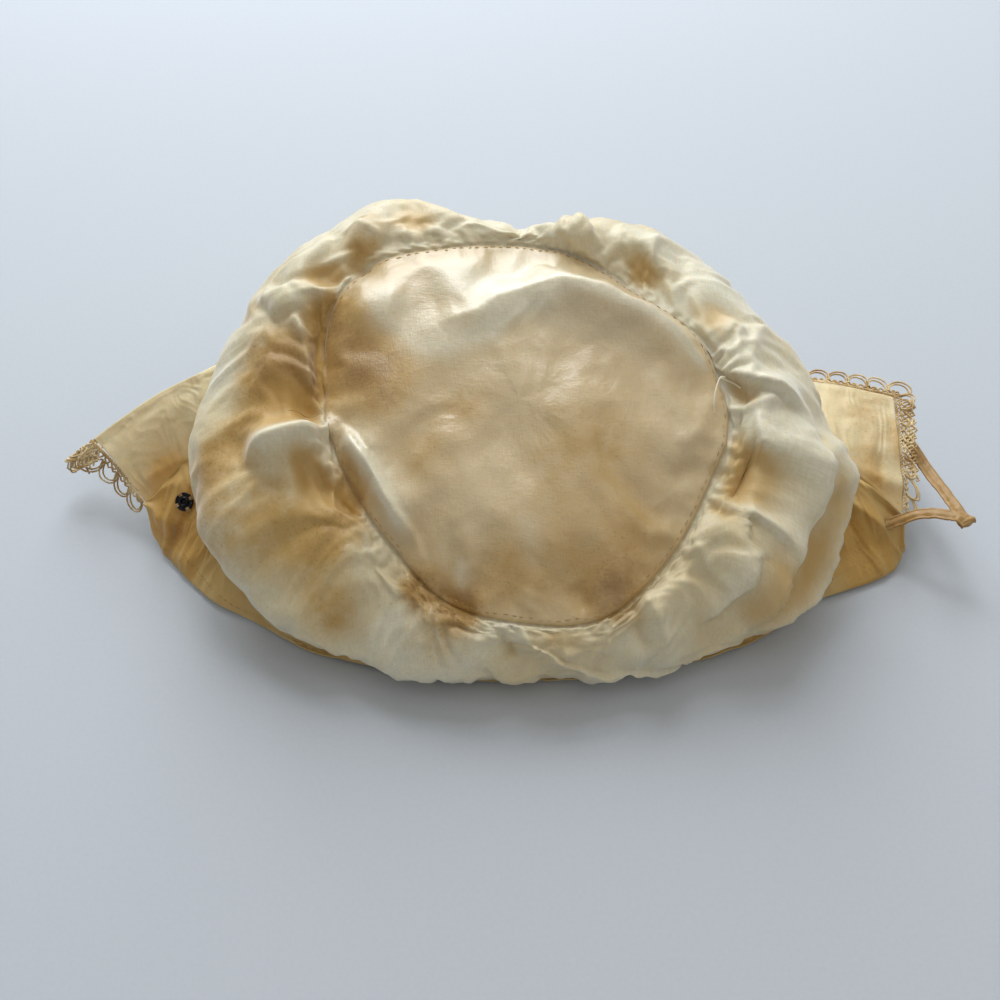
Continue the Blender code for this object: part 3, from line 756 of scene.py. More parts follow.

# Painted sheen: paler silk painted along the ridges where the satin catches the light, with a weight in place of a
# height
SHEEN_STROKES = (
    Fold(((140, 0.87), (144, 0.70), (145, 0.53), (138, 0.42), (122, 0.40), (106, 0.47), (92, 0.56),
          (79, 0.65), (70, 0.70)), 5.0, 3.6),
    Fold(((70, 0.70), (52, 0.75), (36, 0.82), (21, 0.87), (12, 0.95)), 1.9, 2.4),
    Fold(((92, 0.52), (60, 0.58), (36, 0.66), (18, 0.70)), 8.0, 1.1),
    Fold(((359, 1.18), (357, 1.38), (356, 1.45)), 6.0, 2.2),
    Fold(((351, 1.45), (343, 1.47), (337, 1.48)), 6.0, 1.8),
    Fold(((140, 1.30), (128, 1.24), (105, 1.22), (90, 1.27)), 8.0, 2.0),
    Fold(((75, 1.15), (61, 1.32), (48, 1.45), (34, 1.47), (20, 1.43)), 8.0, 1.6),
    Fold(((12, 1.46), (2, 1.48)), 6.0, 1.6),
    Fold(((248, 0.77), (249, 0.87), (252, 0.93)), 2.6, 1.8),
    Fold(((273, 0.48), (275, 0.65), (276, 0.83)), 3.4, 1.0),
    Fold(((187, 1.37), (188, 1.25), (186, 1.08)), 4.0, 2.2),
    Fold(((152, 1.50), (162, 1.55), (175, 1.55)), 9.0, 1.5),
    Fold(((182, 0.88), (195, 0.84), (214, 0.83), (228, 0.86)), 3.2, 2.0),
    Fold(((225, 1.22), (236, 1.36), (246, 1.44)), 6.0, 1.2),
    Fold(((132, 0.84), (116, 0.74), (98, 0.70), (82, 0.78), (66, 0.86)), 10.0, 2.4),
)


@dataclass(frozen=True)
class Gathers:
    """Pleats that run out from the crown seam: many and low beside it, fewer and higher further out."""

    # pleats round the seam, height, and where they start, peak and end, as a distance from the seam
    bands: tuple[tuple[float, ...], ...] = (
        (88.0, 0.42, 0.4, 2.0, 7.0),
        (47.0, 0.80, 1.5, 6.0, 15.0),
        (21.0, 1.00, 5.0, 14.0, 32.0),
    )
    # the lengths of the fields that push the pleats at the seam and further out, and that give them their strength
    push_lengths: tuple[float, float] = (38.0, 24.0)
    strength_length: float = 45.0

    def lift(self, form: BonnetForm, angle: Array, reach: Array) -> Array:
        """How far the pleats lift the side band.

        Each band of pleats is |cos| of the angle, pushed about by a random field, so its ridges are
        round and its valleys sharp, times a random strength round the seam, times its own fade.

        Args:
            form: the bonnet's form.
            angle: plan angles.
            reach: reaches, of which only those above 1 are lifted.

        Returns:
            One height for each point.
        """
        here = form.chart(angle, reach)
        off = (reach - 1.0) * form.spread
        total = np.zeros(angle.shape)
        for index, (count, height, start, peak, end) in enumerate(self.bands):
            rim = form.chart(angle, 1.0 + 0.0 * reach)
            push = Waves(40 + index, self.push_lengths[0]).at(rim) * 2.2
            push = push + Waves(50 + index, self.push_lengths[1]).at(here) * 0.9
            ridge = np.abs(np.cos(np.radians(angle) * count / 2 + push))
            strong = np.clip(0.75 + 0.45 * Waves(60 + index, self.strength_length).at(rim), 0.15, 1.6)
            window = ease(start, peak, off) * (1.0 - ease(peak, end, off))
            total += height * strong * window * (ridge - 0.5)
        return total


@dataclass(frozen=True)
class SilkBody:
    """The folded cloth of crown and side band."""

    form: BonnetForm = BonnetForm()
    gathers: Gathers = Gathers()
    # seed, length, height on the crown, and how much higher on the side band
    swells: tuple[tuple[float, ...], ...] = ((3, 34.0, 0.35, 0.35), (4, 13.0, 0.10, 0.05))
    crushes: tuple[tuple[float, ...], ...] = ((5, 19.0, 0.06, 0.30), (6, 8.0, 0.02, 0.08))
    crush_push: tuple[float, ...] = (7, 26.0, 4.0)
    groove: float = 0.4
    groove_width: float = 1.2
    hem_still: float = 0.18

    def relief(self, angle: Array, reach: Array) -> tuple[Array, Array, Array]:
        """All folds, gathers and crumples together, as a height along the smooth surface's normal.

        Args:
            angle: plan angles.
            reach: reaches.

        Returns:
            The height, and how far the valleys and the sharp ridges alone go down and up, the ridges with the sheen
            strokes' weights added; these set the painted shade and the painted sheen.
        """
        here = self.form.chart(angle, reach)
        rounds = [fold.lift(self.form, here) for fold in ROUND_FOLDS]
        main = np.maximum(np.max(rounds, axis=0), 0.0) + np.minimum(np.min(rounds, axis=0), 0.0)
        fine = [fold.lift(self.form, here) for fold in FINE_FOLDS]
        valley = -np.minimum(np.min(rounds, axis=0), 0.0) - sum(np.minimum(lift, 0.0) for lift in fine)
        # Painted sheen: the sharp ridges' heights and the sheen strokes' weights make the silk paler along the ridges.
        crest = 0.6 * sum(np.maximum(lift, 0.0) for fold, lift in zip(FINE_FOLDS, fine) if fold.edge is not Edge.ROUND)
        crest += sum(fold.lift(self.form, here) for fold in SHEEN_STROKES)
        on_puff = ease(0.98, 1.15, reach)
        soft = sum(Waves(seed, length).at(here) * (low + more * on_puff) for seed, length, low, more in self.swells)
        moved = pushed(here, *self.crush_push)
        crush = sum(crumpled(seed, length, moved) * (low + more * on_puff) for seed, length, low, more in self.crushes)
        off = (reach - 1.0) * self.form.spread
        groove = -self.groove * np.exp(-((off / self.groove_width) ** 2))
        edge = ease(0.0, self.hem_still, 2.0 - reach)
        height = (main + sum(fine) + soft + crush) * edge + self.gathers.lift(self.form, angle, reach) + groove
        return height, valley * edge, crest * edge

    def surface(self, angle: Array, reach: Array) -> Array:
        """The folded surface: the smooth form moved along its own normal by the relief."""
        height = self.relief(angle, reach)[0]
        return self.form.point(angle, reach) + self.form.normal(angle, reach) * height[..., None]

    def settled(self, angle: Array, reach: Array, below: Array, moves: Array) -> tuple[Array, Array, Array]:
        """The folded surface after its simulation, lowered a little where it runs under its neighbour.

        Args:
            angle: plan angles.
            reach: reaches.
            below: how far each point is lowered.
            moves: how far the simulation moves each point.

        Returns:
            The points, how deep each lies in a valley and how high on a ridge, for the painted shade and the painted
            sheen.
        """
        height, valley, crest = self.relief(angle, reach)
        up = self.form.normal(angle, reach)
        points = self.form.point(angle, reach) + up * (height - below)[:, None] + moves
        lift = np.sum(moves * up, axis=1)
        # Cloth that the simulation pushes in gets more painted shade, and cloth that it lifts gets more painted sheen.
        return points, valley - np.minimum(lift, 0.0), crest + 0.5 * np.maximum(lift, 0.0)


@dataclass(frozen=True)
class Settle:
    """A short cloth simulation: a sheet held at its seams grows a little and buckles, as washed silk does."""

    growth: float
    bending: float
    frames: int = 20
    most: float = 2.2
    enlarged: float = 10.0
    pin_steps: int = 5
    mass: float = 0.15
    air_damping: float = 2.0
    damping: float = 10.0

    def moves(self, points: Array, faces: list, held: Array) -> Array:
        """Runs the simulation on a copy of the sheet, ten times its size, and takes the copy away again.

        Args:
            points: the sheet's points.
            faces: its faces.
            held: 1 where the seams hold it, 0 where it is free.

        Returns:
            How far each point moves, in millimetres, never more than the cap.
        """
        mesh = bpy.data.meshes.new("settling")
        mesh.from_pydata((points * MM * self.enlarged).tolist(), [], faces)
        sheet = bpy.data.objects.new("settling", mesh)
        bpy.context.scene.collection.objects.link(sheet)
        pins = sheet.vertex_groups.new(name="held")
        for step in range(1, self.pin_steps + 1):
            pinned = np.flatnonzero(np.round(held * self.pin_steps) == step)
            pins.add(pinned.tolist(), step / self.pin_steps, "REPLACE")
        cloth = sheet.modifiers.new("cloth", "CLOTH")
        cloth.settings.vertex_group_mass = pins.name
        cloth.settings.shrink_min = -self.growth
        cloth.settings.bending_stiffness = self.bending
        cloth.settings.mass, cloth.settings.air_damping = self.mass, self.air_damping
        cloth.settings.tension_damping = cloth.settings.compression_damping = self.damping
        cloth.settings.effector_weights.gravity = 0.0
        cloth.collision_settings.use_collision = False
        cloth.point_cache.frame_start, cloth.point_cache.frame_end = 1, self.frames
        for frame in range(1, self.frames + 1):
            bpy.context.scene.frame_set(frame)
        moved = np.empty(3 * len(points), np.float32)
        sheet.evaluated_get(bpy.context.evaluated_depsgraph_get()).data.vertices.foreach_get("co", moved)
        bpy.data.objects.remove(sheet)
        bpy.data.meshes.remove(mesh)
        bpy.context.scene.frame_set(1)
        move = moved.reshape(-1, 3).astype(float) / MM / self.enlarged - points
        far = np.linalg.norm(move, axis=1, keepdims=True)
        return move / np.sqrt(1.0 + (far / self.most) ** 2)


def refine(moves: Array, rows: int, columns: int) -> Array:
    """Moves of a coarse ring of cloth, spread smoothly over a finer one.

    Args:
        moves: coarse rows by coarse columns by 3, closed along its columns.
        rows: the finer ring's rows.
        columns: its columns.

    Returns:
        One move for each point of the finer ring, row by row.
    """
    many, round_it = moves.shape[:2]
    tall = smooth_rows(moves.reshape(many, -1), np.linspace(0, many - 1, rows), False)
    turned = tall.reshape(rows, round_it, 3).transpose(1, 0, 2).reshape(round_it, -1)
    wide = smooth_rows(turned, np.arange(columns) * round_it / columns, True)
    return wide.reshape(columns, rows, 3).transpose(1, 0, 2).reshape(-1, 3)


@dataclass(frozen=True)
class StainAndShade:
    """A patch of the silk, an age stain except a few patches of painted shade in hollows: where its middle is, how far
    it spreads, and how much ochre and brown it holds.
    """

    angle: float
    reach: float
    size: float
    ochre: float
    brown: float


STAINS_AND_SHADE = (
    StainAndShade(151, 0.98, 6.0, 1.0, 0.5),
    StainAndShade(157, 0.90, 8.0, 1.0, 0.35),
    StainAndShade(154, 0.80, 6.0, 0.9, 0.2),
    # a darker patch at the crown's left edge
    StainAndShade(170, 0.80, 8.0, 0.3, 0.4),
    # painted shade low on the puff's left side
    StainAndShade(210, 1.42, 14.0, 0.5, 0.2),
    # darker patches low on the puff's left side
    StainAndShade(188, 1.60, 11.0, 0.6, 0.4),
    StainAndShade(197, 1.60, 11.0, 0.5, 0.35),
    # a darker patch low on the puff, left of the nape
    StainAndShade(247, 1.45, 11.0, 0.4, 0.25),
    StainAndShade(161, 0.62, 8.0, 0.9, 0.35),
    StainAndShade(165, 0.75, 9.0, 0.6, 0.3),
    StainAndShade(169, 1.27, 13.0, 1.0, 0.8),
    StainAndShade(174, 1.18, 7.0, 0.6, 0.6),
    StainAndShade(129, 1.28, 6.0, 0.8, 0.4),
    StainAndShade(156, 1.52, 5.0, 0.7, 0.3),
    StainAndShade(134, 1.12, 5.0, 0.7, 0.4),
    StainAndShade(179, 0.67, 6.0, 0.4, 0.5),
    StainAndShade(187, 0.28, 8.0, 0.4, 0.35),
    StainAndShade(182, 1.45, 6.0, 0.5, 0.4),
    StainAndShade(184, 1.56, 6.0, 0.5, 0.35),
    StainAndShade(197, 0.95, 5.0, 0.6, 0.6),
    StainAndShade(206, 1.06, 4.5, 0.7, 0.7),
    StainAndShade(212, 1.30, 7.0, 0.6, 0.4),
    StainAndShade(223, 1.53, 8.0, 0.6, 0.35),
    StainAndShade(238, 1.08, 6.0, 0.8, 0.8),
    StainAndShade(252, 0.99, 6.0, 0.8, 0.8),
    StainAndShade(264, 0.80, 9.0, 0.5, 0.4),
    StainAndShade(208, 0.57, 9.0, 0.4, 0.35),
    StainAndShade(328, 0.42, 17.0, 0.5, 0.3),
    StainAndShade(313, 0.83, 10.0, 0.5, 0.35),
    StainAndShade(298, 0.93, 8.0, 0.8, 0.75),
    StainAndShade(285, 0.75, 12.0, 0.4, 0.2),
    # the tan hollow between the right lobes: the silk's own tan, with painted shade in the hollow
    StainAndShade(343, 1.63, 9.0, 0.8, 0.0),
    StainAndShade(354, 1.60, 8.0, 0.7, 0.1),
    StainAndShade(332, 1.62, 9.0, 0.8, 0.1),
    # painted shade under the left lobe
    StainAndShade(182, 1.36, 12.0, 0.45, 0.1),
    StainAndShade(200, 1.40, 14.0, 0.4, 0.05),
)


def marks_of(points: Array, body: SilkBody, valley: Array, crest: Array, warmth: float) -> Array:
    """Ochre, brown, painted fold-shade and painted sheen weights of each point of the cloth.

    Each patch's weight is exp(-(d / size)²) of the true distance d from its middle. The painted fold shade grows
    with the depth of the valleys, and the painted sheen with the height of the sharp ridges and the sheen strokes.

    Args:
        points: the points of the cloth.
        body: the cloth that the middles of the stains and the shade patches lie on.
        valley: how deep each point lies in a valley; it sets the painted fold shade.
        crest: how high each point lies on a sharp ridge, with the sheen strokes' weight; it sets the painted sheen.
        warmth: an ochre weight that the whole piece has.

    Returns:
        Four weights for each point, from 0 to 1.
    """
    marks = np.zeros((len(points), 4))
    marks[:, 0] = warmth
    for stain_and_shade in STAINS_AND_SHADE:
        middle = body.form.point(np.array([stain_and_shade.angle]), np.array([stain_and_shade.reach]))[0]
        weight = np.exp(-((np.linalg.norm(points - middle, axis=1) / stain_and_shade.size) ** 2))
        marks[:, 0] += stain_and_shade.ochre * weight
        marks[:, 1] += stain_and_shade.brown * weight
    marks[:, 2] = ease(*VALLEY_SHADE, valley)
    marks[:, 3] = ease(*RIDGE_SHEEN, crest)
    return np.clip(marks, 0.0, 1.0)


@dataclass(frozen=True)
class Crown:
    """The round back panel: a domed sheet of satin, its edge turned under along the seam."""

    body: SilkBody
    around: int = 400
    rings: int = 76
    thickness: float = 0.35
    edge: float = 0.6
    middle: float = 1e-4
    warmth: float = 0.12
    settle: Settle = Settle(0.010, 4.0)
    held_within: float = 0.10
    still_middle: tuple[float, float] = (0.02, 0.42)

    def build(self, finish: bpy.types.Material) -> bpy.types.Object:
        """Builds the panel as rings about one middle point.

        Args:
            finish: its silk.

        Returns:
            The piece, standing for the crown's solid.
        """
        angle = np.tile(np.arange(self.around) * 360.0 / self.around, self.rings)
        share = np.repeat(np.arange(1, self.rings + 1) / self.rings, self.around)
        reach = share * (1 - self.edge / self.body.form.section(angle)[:, 0])
        angle = np.concatenate([[0.0], angle])
        reach = np.concatenate([[self.middle], reach])
        points, valley, crest = self.body.settled(angle, reach, 0.0 * reach, self.moves(reach[self.around]))
        piece = new_piece("crown_panel", points, self.faces(self.rings, self.around), finish)
        give_uv(piece, self.body.form.chart(angle, reach))
        give_marks(piece, marks_of(points, self.body, valley, crest, self.warmth))
        add_wall(piece, self.thickness)
        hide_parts("crown")
        return piece

    def faces(self, rings: int, around: int) -> list:
        """The faces of rings about one middle point, which comes first."""
        fan = np.arange(around)
        middle = np.stack([0 * fan, fan + 1, (fan + 1) % around + 1], axis=1)
        return (grid_quads(rings, around, True) + 1).tolist() + middle.tolist()

    def moves(self, first: float) -> Array:
        """The moves of a cloth simulation of the panel at half its fineness, faded out near the middle.

        Args:
            first: the reach of the finer panel's first ring.

        Returns:
            One move for each point of the finer panel, the middle point first.
        """
        around, rings = self.around // 2, self.rings // 2
        last = first * self.rings
        angle = np.concatenate([[0.0], np.tile(np.arange(around) * 360.0 / around, rings)])
        reach = np.concatenate([[self.middle], np.repeat(np.linspace(first, last, rings), around)])
        points = self.body.surface(angle, reach)
        held = 1.0 - ease(0.0, self.held_within, 0.99 - reach)
        moves = self.settle.moves(points, self.faces(rings, around), held)
        moves *= ease(*self.still_middle, reach)[:, None]
        return np.concatenate([moves[:1], refine(moves[1:].reshape(rings, around, 3), self.rings, self.around)])


@dataclass(frozen=True)
class Puff:
    """The wide side band, gathered into the crown seam and puffed out all round it."""

    body: SilkBody
    around: int = 560
    rings: int = 82
    thickness: float = 0.35
    tuck: float = 0.03
    under: float = 0.75
    warmth: float = 0.02
    settle: Settle = Settle(0.04, 0.7)
    held_within: tuple[float, float] = (0.10, 0.22)

    def build(self, finish: bpy.types.Material) -> bpy.types.Object:
        """Builds the band as a closed ring of cloth from just under the crown's edge to its hem.

        Args:
            finish: its silk.

        Returns:
            The piece, standing for the puff's solid.
        """
        angle = np.tile(np.arange(self.around) * 360.0 / self.around, self.rings)
        reach = np.repeat(np.linspace(1.0 - self.tuck, 2.0, self.rings), self.around)
        below = self.under * (1.0 - ease(1.0 - 0.5 * self.tuck, 1.0 + 0.6 * self.tuck, reach))
        points, valley, crest = self.body.settled(angle, reach, below, self.moves())
        piece = new_piece("puff_band", points, grid_quads(self.rings, self.around, True).tolist(), finish)
        give_uv(piece, self.body.form.chart(angle, reach))
        give_marks(piece, marks_of(points, self.body, valley, crest, self.warmth))
        add_wall(piece, self.thickness)
        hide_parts("puff")
        return piece

    def moves(self) -> Array:
        """The moves of a cloth simulation of the band at half its fineness, held at both seams."""
        around, rings = self.around // 2, self.rings // 2 + 1
        angle = np.tile(np.arange(around) * 360.0 / around, rings)
        reach = np.repeat(np.linspace(1.0 - self.tuck, 2.0, rings), around)
        seam, hem = self.held_within
        held = 1.0 - ease(0.0, seam, reach - 1.0 + self.tuck) * ease(0.0, hem, 2.0 - reach)
        points = self.body.surface(angle, reach)
        moves = self.settle.moves(points, grid_quads(rings, around, True).tolist(), held)
        return refine(moves.reshape(rings, around, 3), self.rings, self.around)


# The bands beyond the puff

BAND_LENGTH = 330.0
TABLE_EDGE = 0.4
CLOTH_SOLID = 1.2
RIGHT_CHIN = ((-1.7, 28.9, 0.4), (4.0, 17.3, 4.8), (9.0, 7.0, 6.0))
LEFT_CHIN = ((168.0, 4.0, 4.5), (173.0, 13.8, 2.5), (178.0, 26.0, -5.6))


@dataclass(frozen=True)
class Band:
    """A band of cloth between the puff's hem and a free edge.

    Rows run along it: angle, out and rise of its inner edge from the hem, then angle, radius and
    height of its outer edge.
    """

    form: BonnetForm
    rows: tuple[tuple[float, ...], ...]
    bulge: float
    bulge_from: float
    lowest: float
    hem_gap: float = -0.4

    def point(self, across: Array, along: Array) -> Array:
        """A point of the smooth band: straight from the inner edge to the outer one, and bowed up by a
        half wave that grows towards the band's ends.

        Args:
            across: 0 at the inner edge, 1 at the free edge.
            along: 0 to 1 along the rows.

        Returns:
            Points in millimetres.
        """
        row = smooth_rows(self.rows, along * (len(self.rows) - 1), False)
        hem = self.form.section(row[..., 0])[..., 6:8]
        inner = self.form.plan(row[..., 0], hem[..., 0] + row[..., 1], hem[..., 1] + row[..., 2])
        outer = self.form.plan(row[..., 3], row[..., 4], np.maximum(row[..., 5], self.lowest))
        run = outer - inner
        length = np.linalg.norm(run, axis=-1, keepdims=True)
        point = inner + run * (self.hem_gap + (length - self.hem_gap) * across[..., None]) / length
        ends = np.clip((np.abs(along - 0.5) * 2 - self.bulge_from) / (1 - self.bulge_from) * 2, 0.0, 1.0)
        point[..., 2] = np.maximum(point[..., 2], self.lowest) + self.bulge * ends * np.sin(np.pi * across)
        return point

    def normal(self, across: Array, along: Array) -> Array:
        """The upward direction of the smooth band."""
        step = 2e-3
        inner, mid = np.clip(across, step, 1 - step), np.clip(along, step, 1 - step)
        out = self.point(inner + step, mid) - self.point(inner - step, mid)
        on = self.point(inner, mid + step) - self.point(inner, mid - step)
        return unit(np.cross(out, on))


def brim_band(form: BonnetForm) -> Band:
    """The front band round the face opening, from the right chin over the far side to the left chin."""
    rows = (
        (*RIGHT_CHIN[0], 17.5, 113.5, 22.5),
        (*RIGHT_CHIN[1], 21.5, 104.0, 22.5),
        (*RIGHT_CHIN[2], 28.0, 93.5, 20.5),
        (22.0, 0.0, 0.0, 38.0, 86.0, 17.0),
        (45.0, 0.0, 0.0, 53.0, 80.0, 6.0),
        (67.5, 0.0, 0.0, 70.0, 78.0, TABLE_EDGE),
        (90.0, 0.0, 0.0, 90.0, 80.0, TABLE_EDGE),
        (112.5, 0.0, 0.0, 111.0, 82.0, TABLE_EDGE),
        (135.0, 0.0, 0.0, 131.0, 87.0, 12.0),
        (157.5, 0.0, 0.0, 149.0, 90.0, 29.0),
        (*LEFT_CHIN[0], 161.0, 93.0, 36.0),
        (*LEFT_CHIN[1], 165.0, 105.0, 30.0),
        (*LEFT_CHIN[2], 170.7, 121.5, 20.0),
    )
    return Band(form, rows, 2.0, 0.45, TABLE_EDGE)


def neck_band(form: BonnetForm) -> Band:
    """The folded band along the neck edge, from the left chin round the nape to the right chin."""
    rows = (
        (*LEFT_CHIN[2], 181.0, 102.5, 4.0),
        (*LEFT_CHIN[1], 184.5, 98.5, 1.2),
        (171.0, 3.5, 2.2, 187.5, 95.0, 1.2),
        (181.0, 0.0, 0.0, 191.5, 91.0, 1.2),
        (190.0, 0.0, 0.0, 196.5, 86.0, 1.2),
        (202.5, 0.0, 0.0, 204.0, 77.0, 1.2),
        (214.0, -1.0, -0.6, 214.0, 70.0, 1.2),
        (230.0, -7.0, -0.4, 230.0, 60.0, 1.2),
        (250.0, -8.0, -1.2, 250.0, 53.5, 1.2),
        (270.0, -8.0, -1.2, 270.0, 50.5, 1.2),
        (290.0, -8.0, -1.2, 290.0, 52.5, 1.2),
        (308.0, -7.0, -0.4, 308.0, 58.0, 1.2),
        (322.0, -2.0, -0.6, 321.0, 67.0, 1.2),
        (336.0, 0.0, 0.0, 333.0, 75.5, 1.2),
        (350.0, 0.0, 0.0, 342.5, 83.0, 1.2),
        (364.0, 1.5, 0.0, 347.0, 91.5, 1.2),
        (369.0, 6.6, 4.4, 350.0, 99.0, 1.2),
        (364.0, 17.3, 4.0, 353.0, 105.0, 1.2),
        (358.3, 28.9, 0.4, 355.5, 107.0, 3.0),
    )
    return Band(form, rows, 2.5, 0.5, CLOTH_SOLID)


@dataclass(frozen=True)
class BandCrease:
    """A crease of a band along a path of (along, across) points."""

    path: tuple[tuple[float, float], ...]
    width: float
    height: float


@dataclass(frozen=True)
class BandStainAndShade:
    """A patch of a band, an age stain except one patch of painted shade on the right wing: where its middle is, its
    size, and how much ochre and brown it holds.
    """

    along: float
    across: float
    size: float
    ochre: float
    brown: float


@dataclass(frozen=True)
class BandCloth:
    """A band's cloth, with its creases, ripples and turned hem."""

    name: str
    solid: str
    slot: str
    band: Band
    length: float
    width: float
    creases: tuple[BandCrease, ...]
    stains_and_shade: tuple[BandStainAndShade, ...]
    seed: int
    columns: int = 40
    lengths: int = 600
    ripple: float = 0.5
    hem: float = 3.0
    hem_step: float = 0.25
    thickness: float = 0.4
    warmth: float = 0.2

    def lift(self, across: Array, along: Array) -> Array:
        """Creases, ripples and the turned hem's small step, as a height over the smooth band."""
        here = np.stack([along * self.length, across * self.width], axis=-1)
        total = self.ripple * Waves(self.seed, 26.0).at(here) + 0.35 * self.ripple * Waves(self.seed + 1, 10.0).at(here)
        total += crumpled(self.seed + 4, 12.0, pushed(here, self.seed + 2, 20.0, 3.0)) * self.ripple * 0.5
        for crease in self.creases:
            off = along_path(np.array(crease.path, float) * (self.length, self.width), here)[0]
            total += crease.height * sharp_ridge(off, crease.width)
        total *= ease(0.0, 0.12, across) * ease(-0.05, 0.1, 1.0 - across)
        to_edge = (1.0 - across) * self.width
        return total + self.hem_step * (1.0 - ease(self.hem - 0.3, self.hem + 0.1, to_edge))

    def surface(self, across: Array, along: Array) -> Array:
        """The smooth band moved along its normal by the lift, and kept off the table."""
        point = self.band.point(across, along)
        point += self.band.normal(across, along) * self.lift(across, along)[..., None]
        point[..., 2] = np.maximum(point[..., 2], self.thickness + 0.05)
        return point

    def build(self, body: SilkBody, finish: bpy.types.Material) -> bpy.types.Object:
        """Builds the band as one sheet.

        Args:
            body: the cloth whose stains and patches of painted shade also reach the band.
            finish: its silk.

        Returns:
            The piece, standing for its solid.
        """
        along = np.tile(np.linspace(0.0, 1.0, self.lengths), self.columns)
        across = np.repeat(np.linspace(0.0, 1.0, self.columns), self.lengths)
        points = self.surface(across, along)
        piece = new_piece(self.name, points, grid_quads(self.columns, self.lengths, False).tolist(), finish)
        here = np.stack([along * self.length, across * self.width], axis=-1)
        give_uv(piece, here)
        # Painted fold shade along the band's inner edge, where it runs under the puff's hem, given as a valley depth.
        marks = marks_of(points, body, 2.0 * (1.0 - ease(0.0, 0.45, across)), 0.0 * across, self.warmth)
        for stain_and_shade in self.stains_and_shade:
            off = np.linalg.norm(here - (stain_and_shade.along * self.length, stain_and_shade.across * self.width), axis=-1)
            weight = np.exp(-((off / stain_and_shade.size) ** 2))
            marks[:, 0] += stain_and_shade.ochre * weight
            marks[:, 1] += stain_and_shade.brown * weight
        give_marks(piece, np.clip(marks, 0.0, 1.0))
        add_wall(piece, self.thickness)
        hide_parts(self.solid)
        return piece


# Lace, ribbon, stud and threads


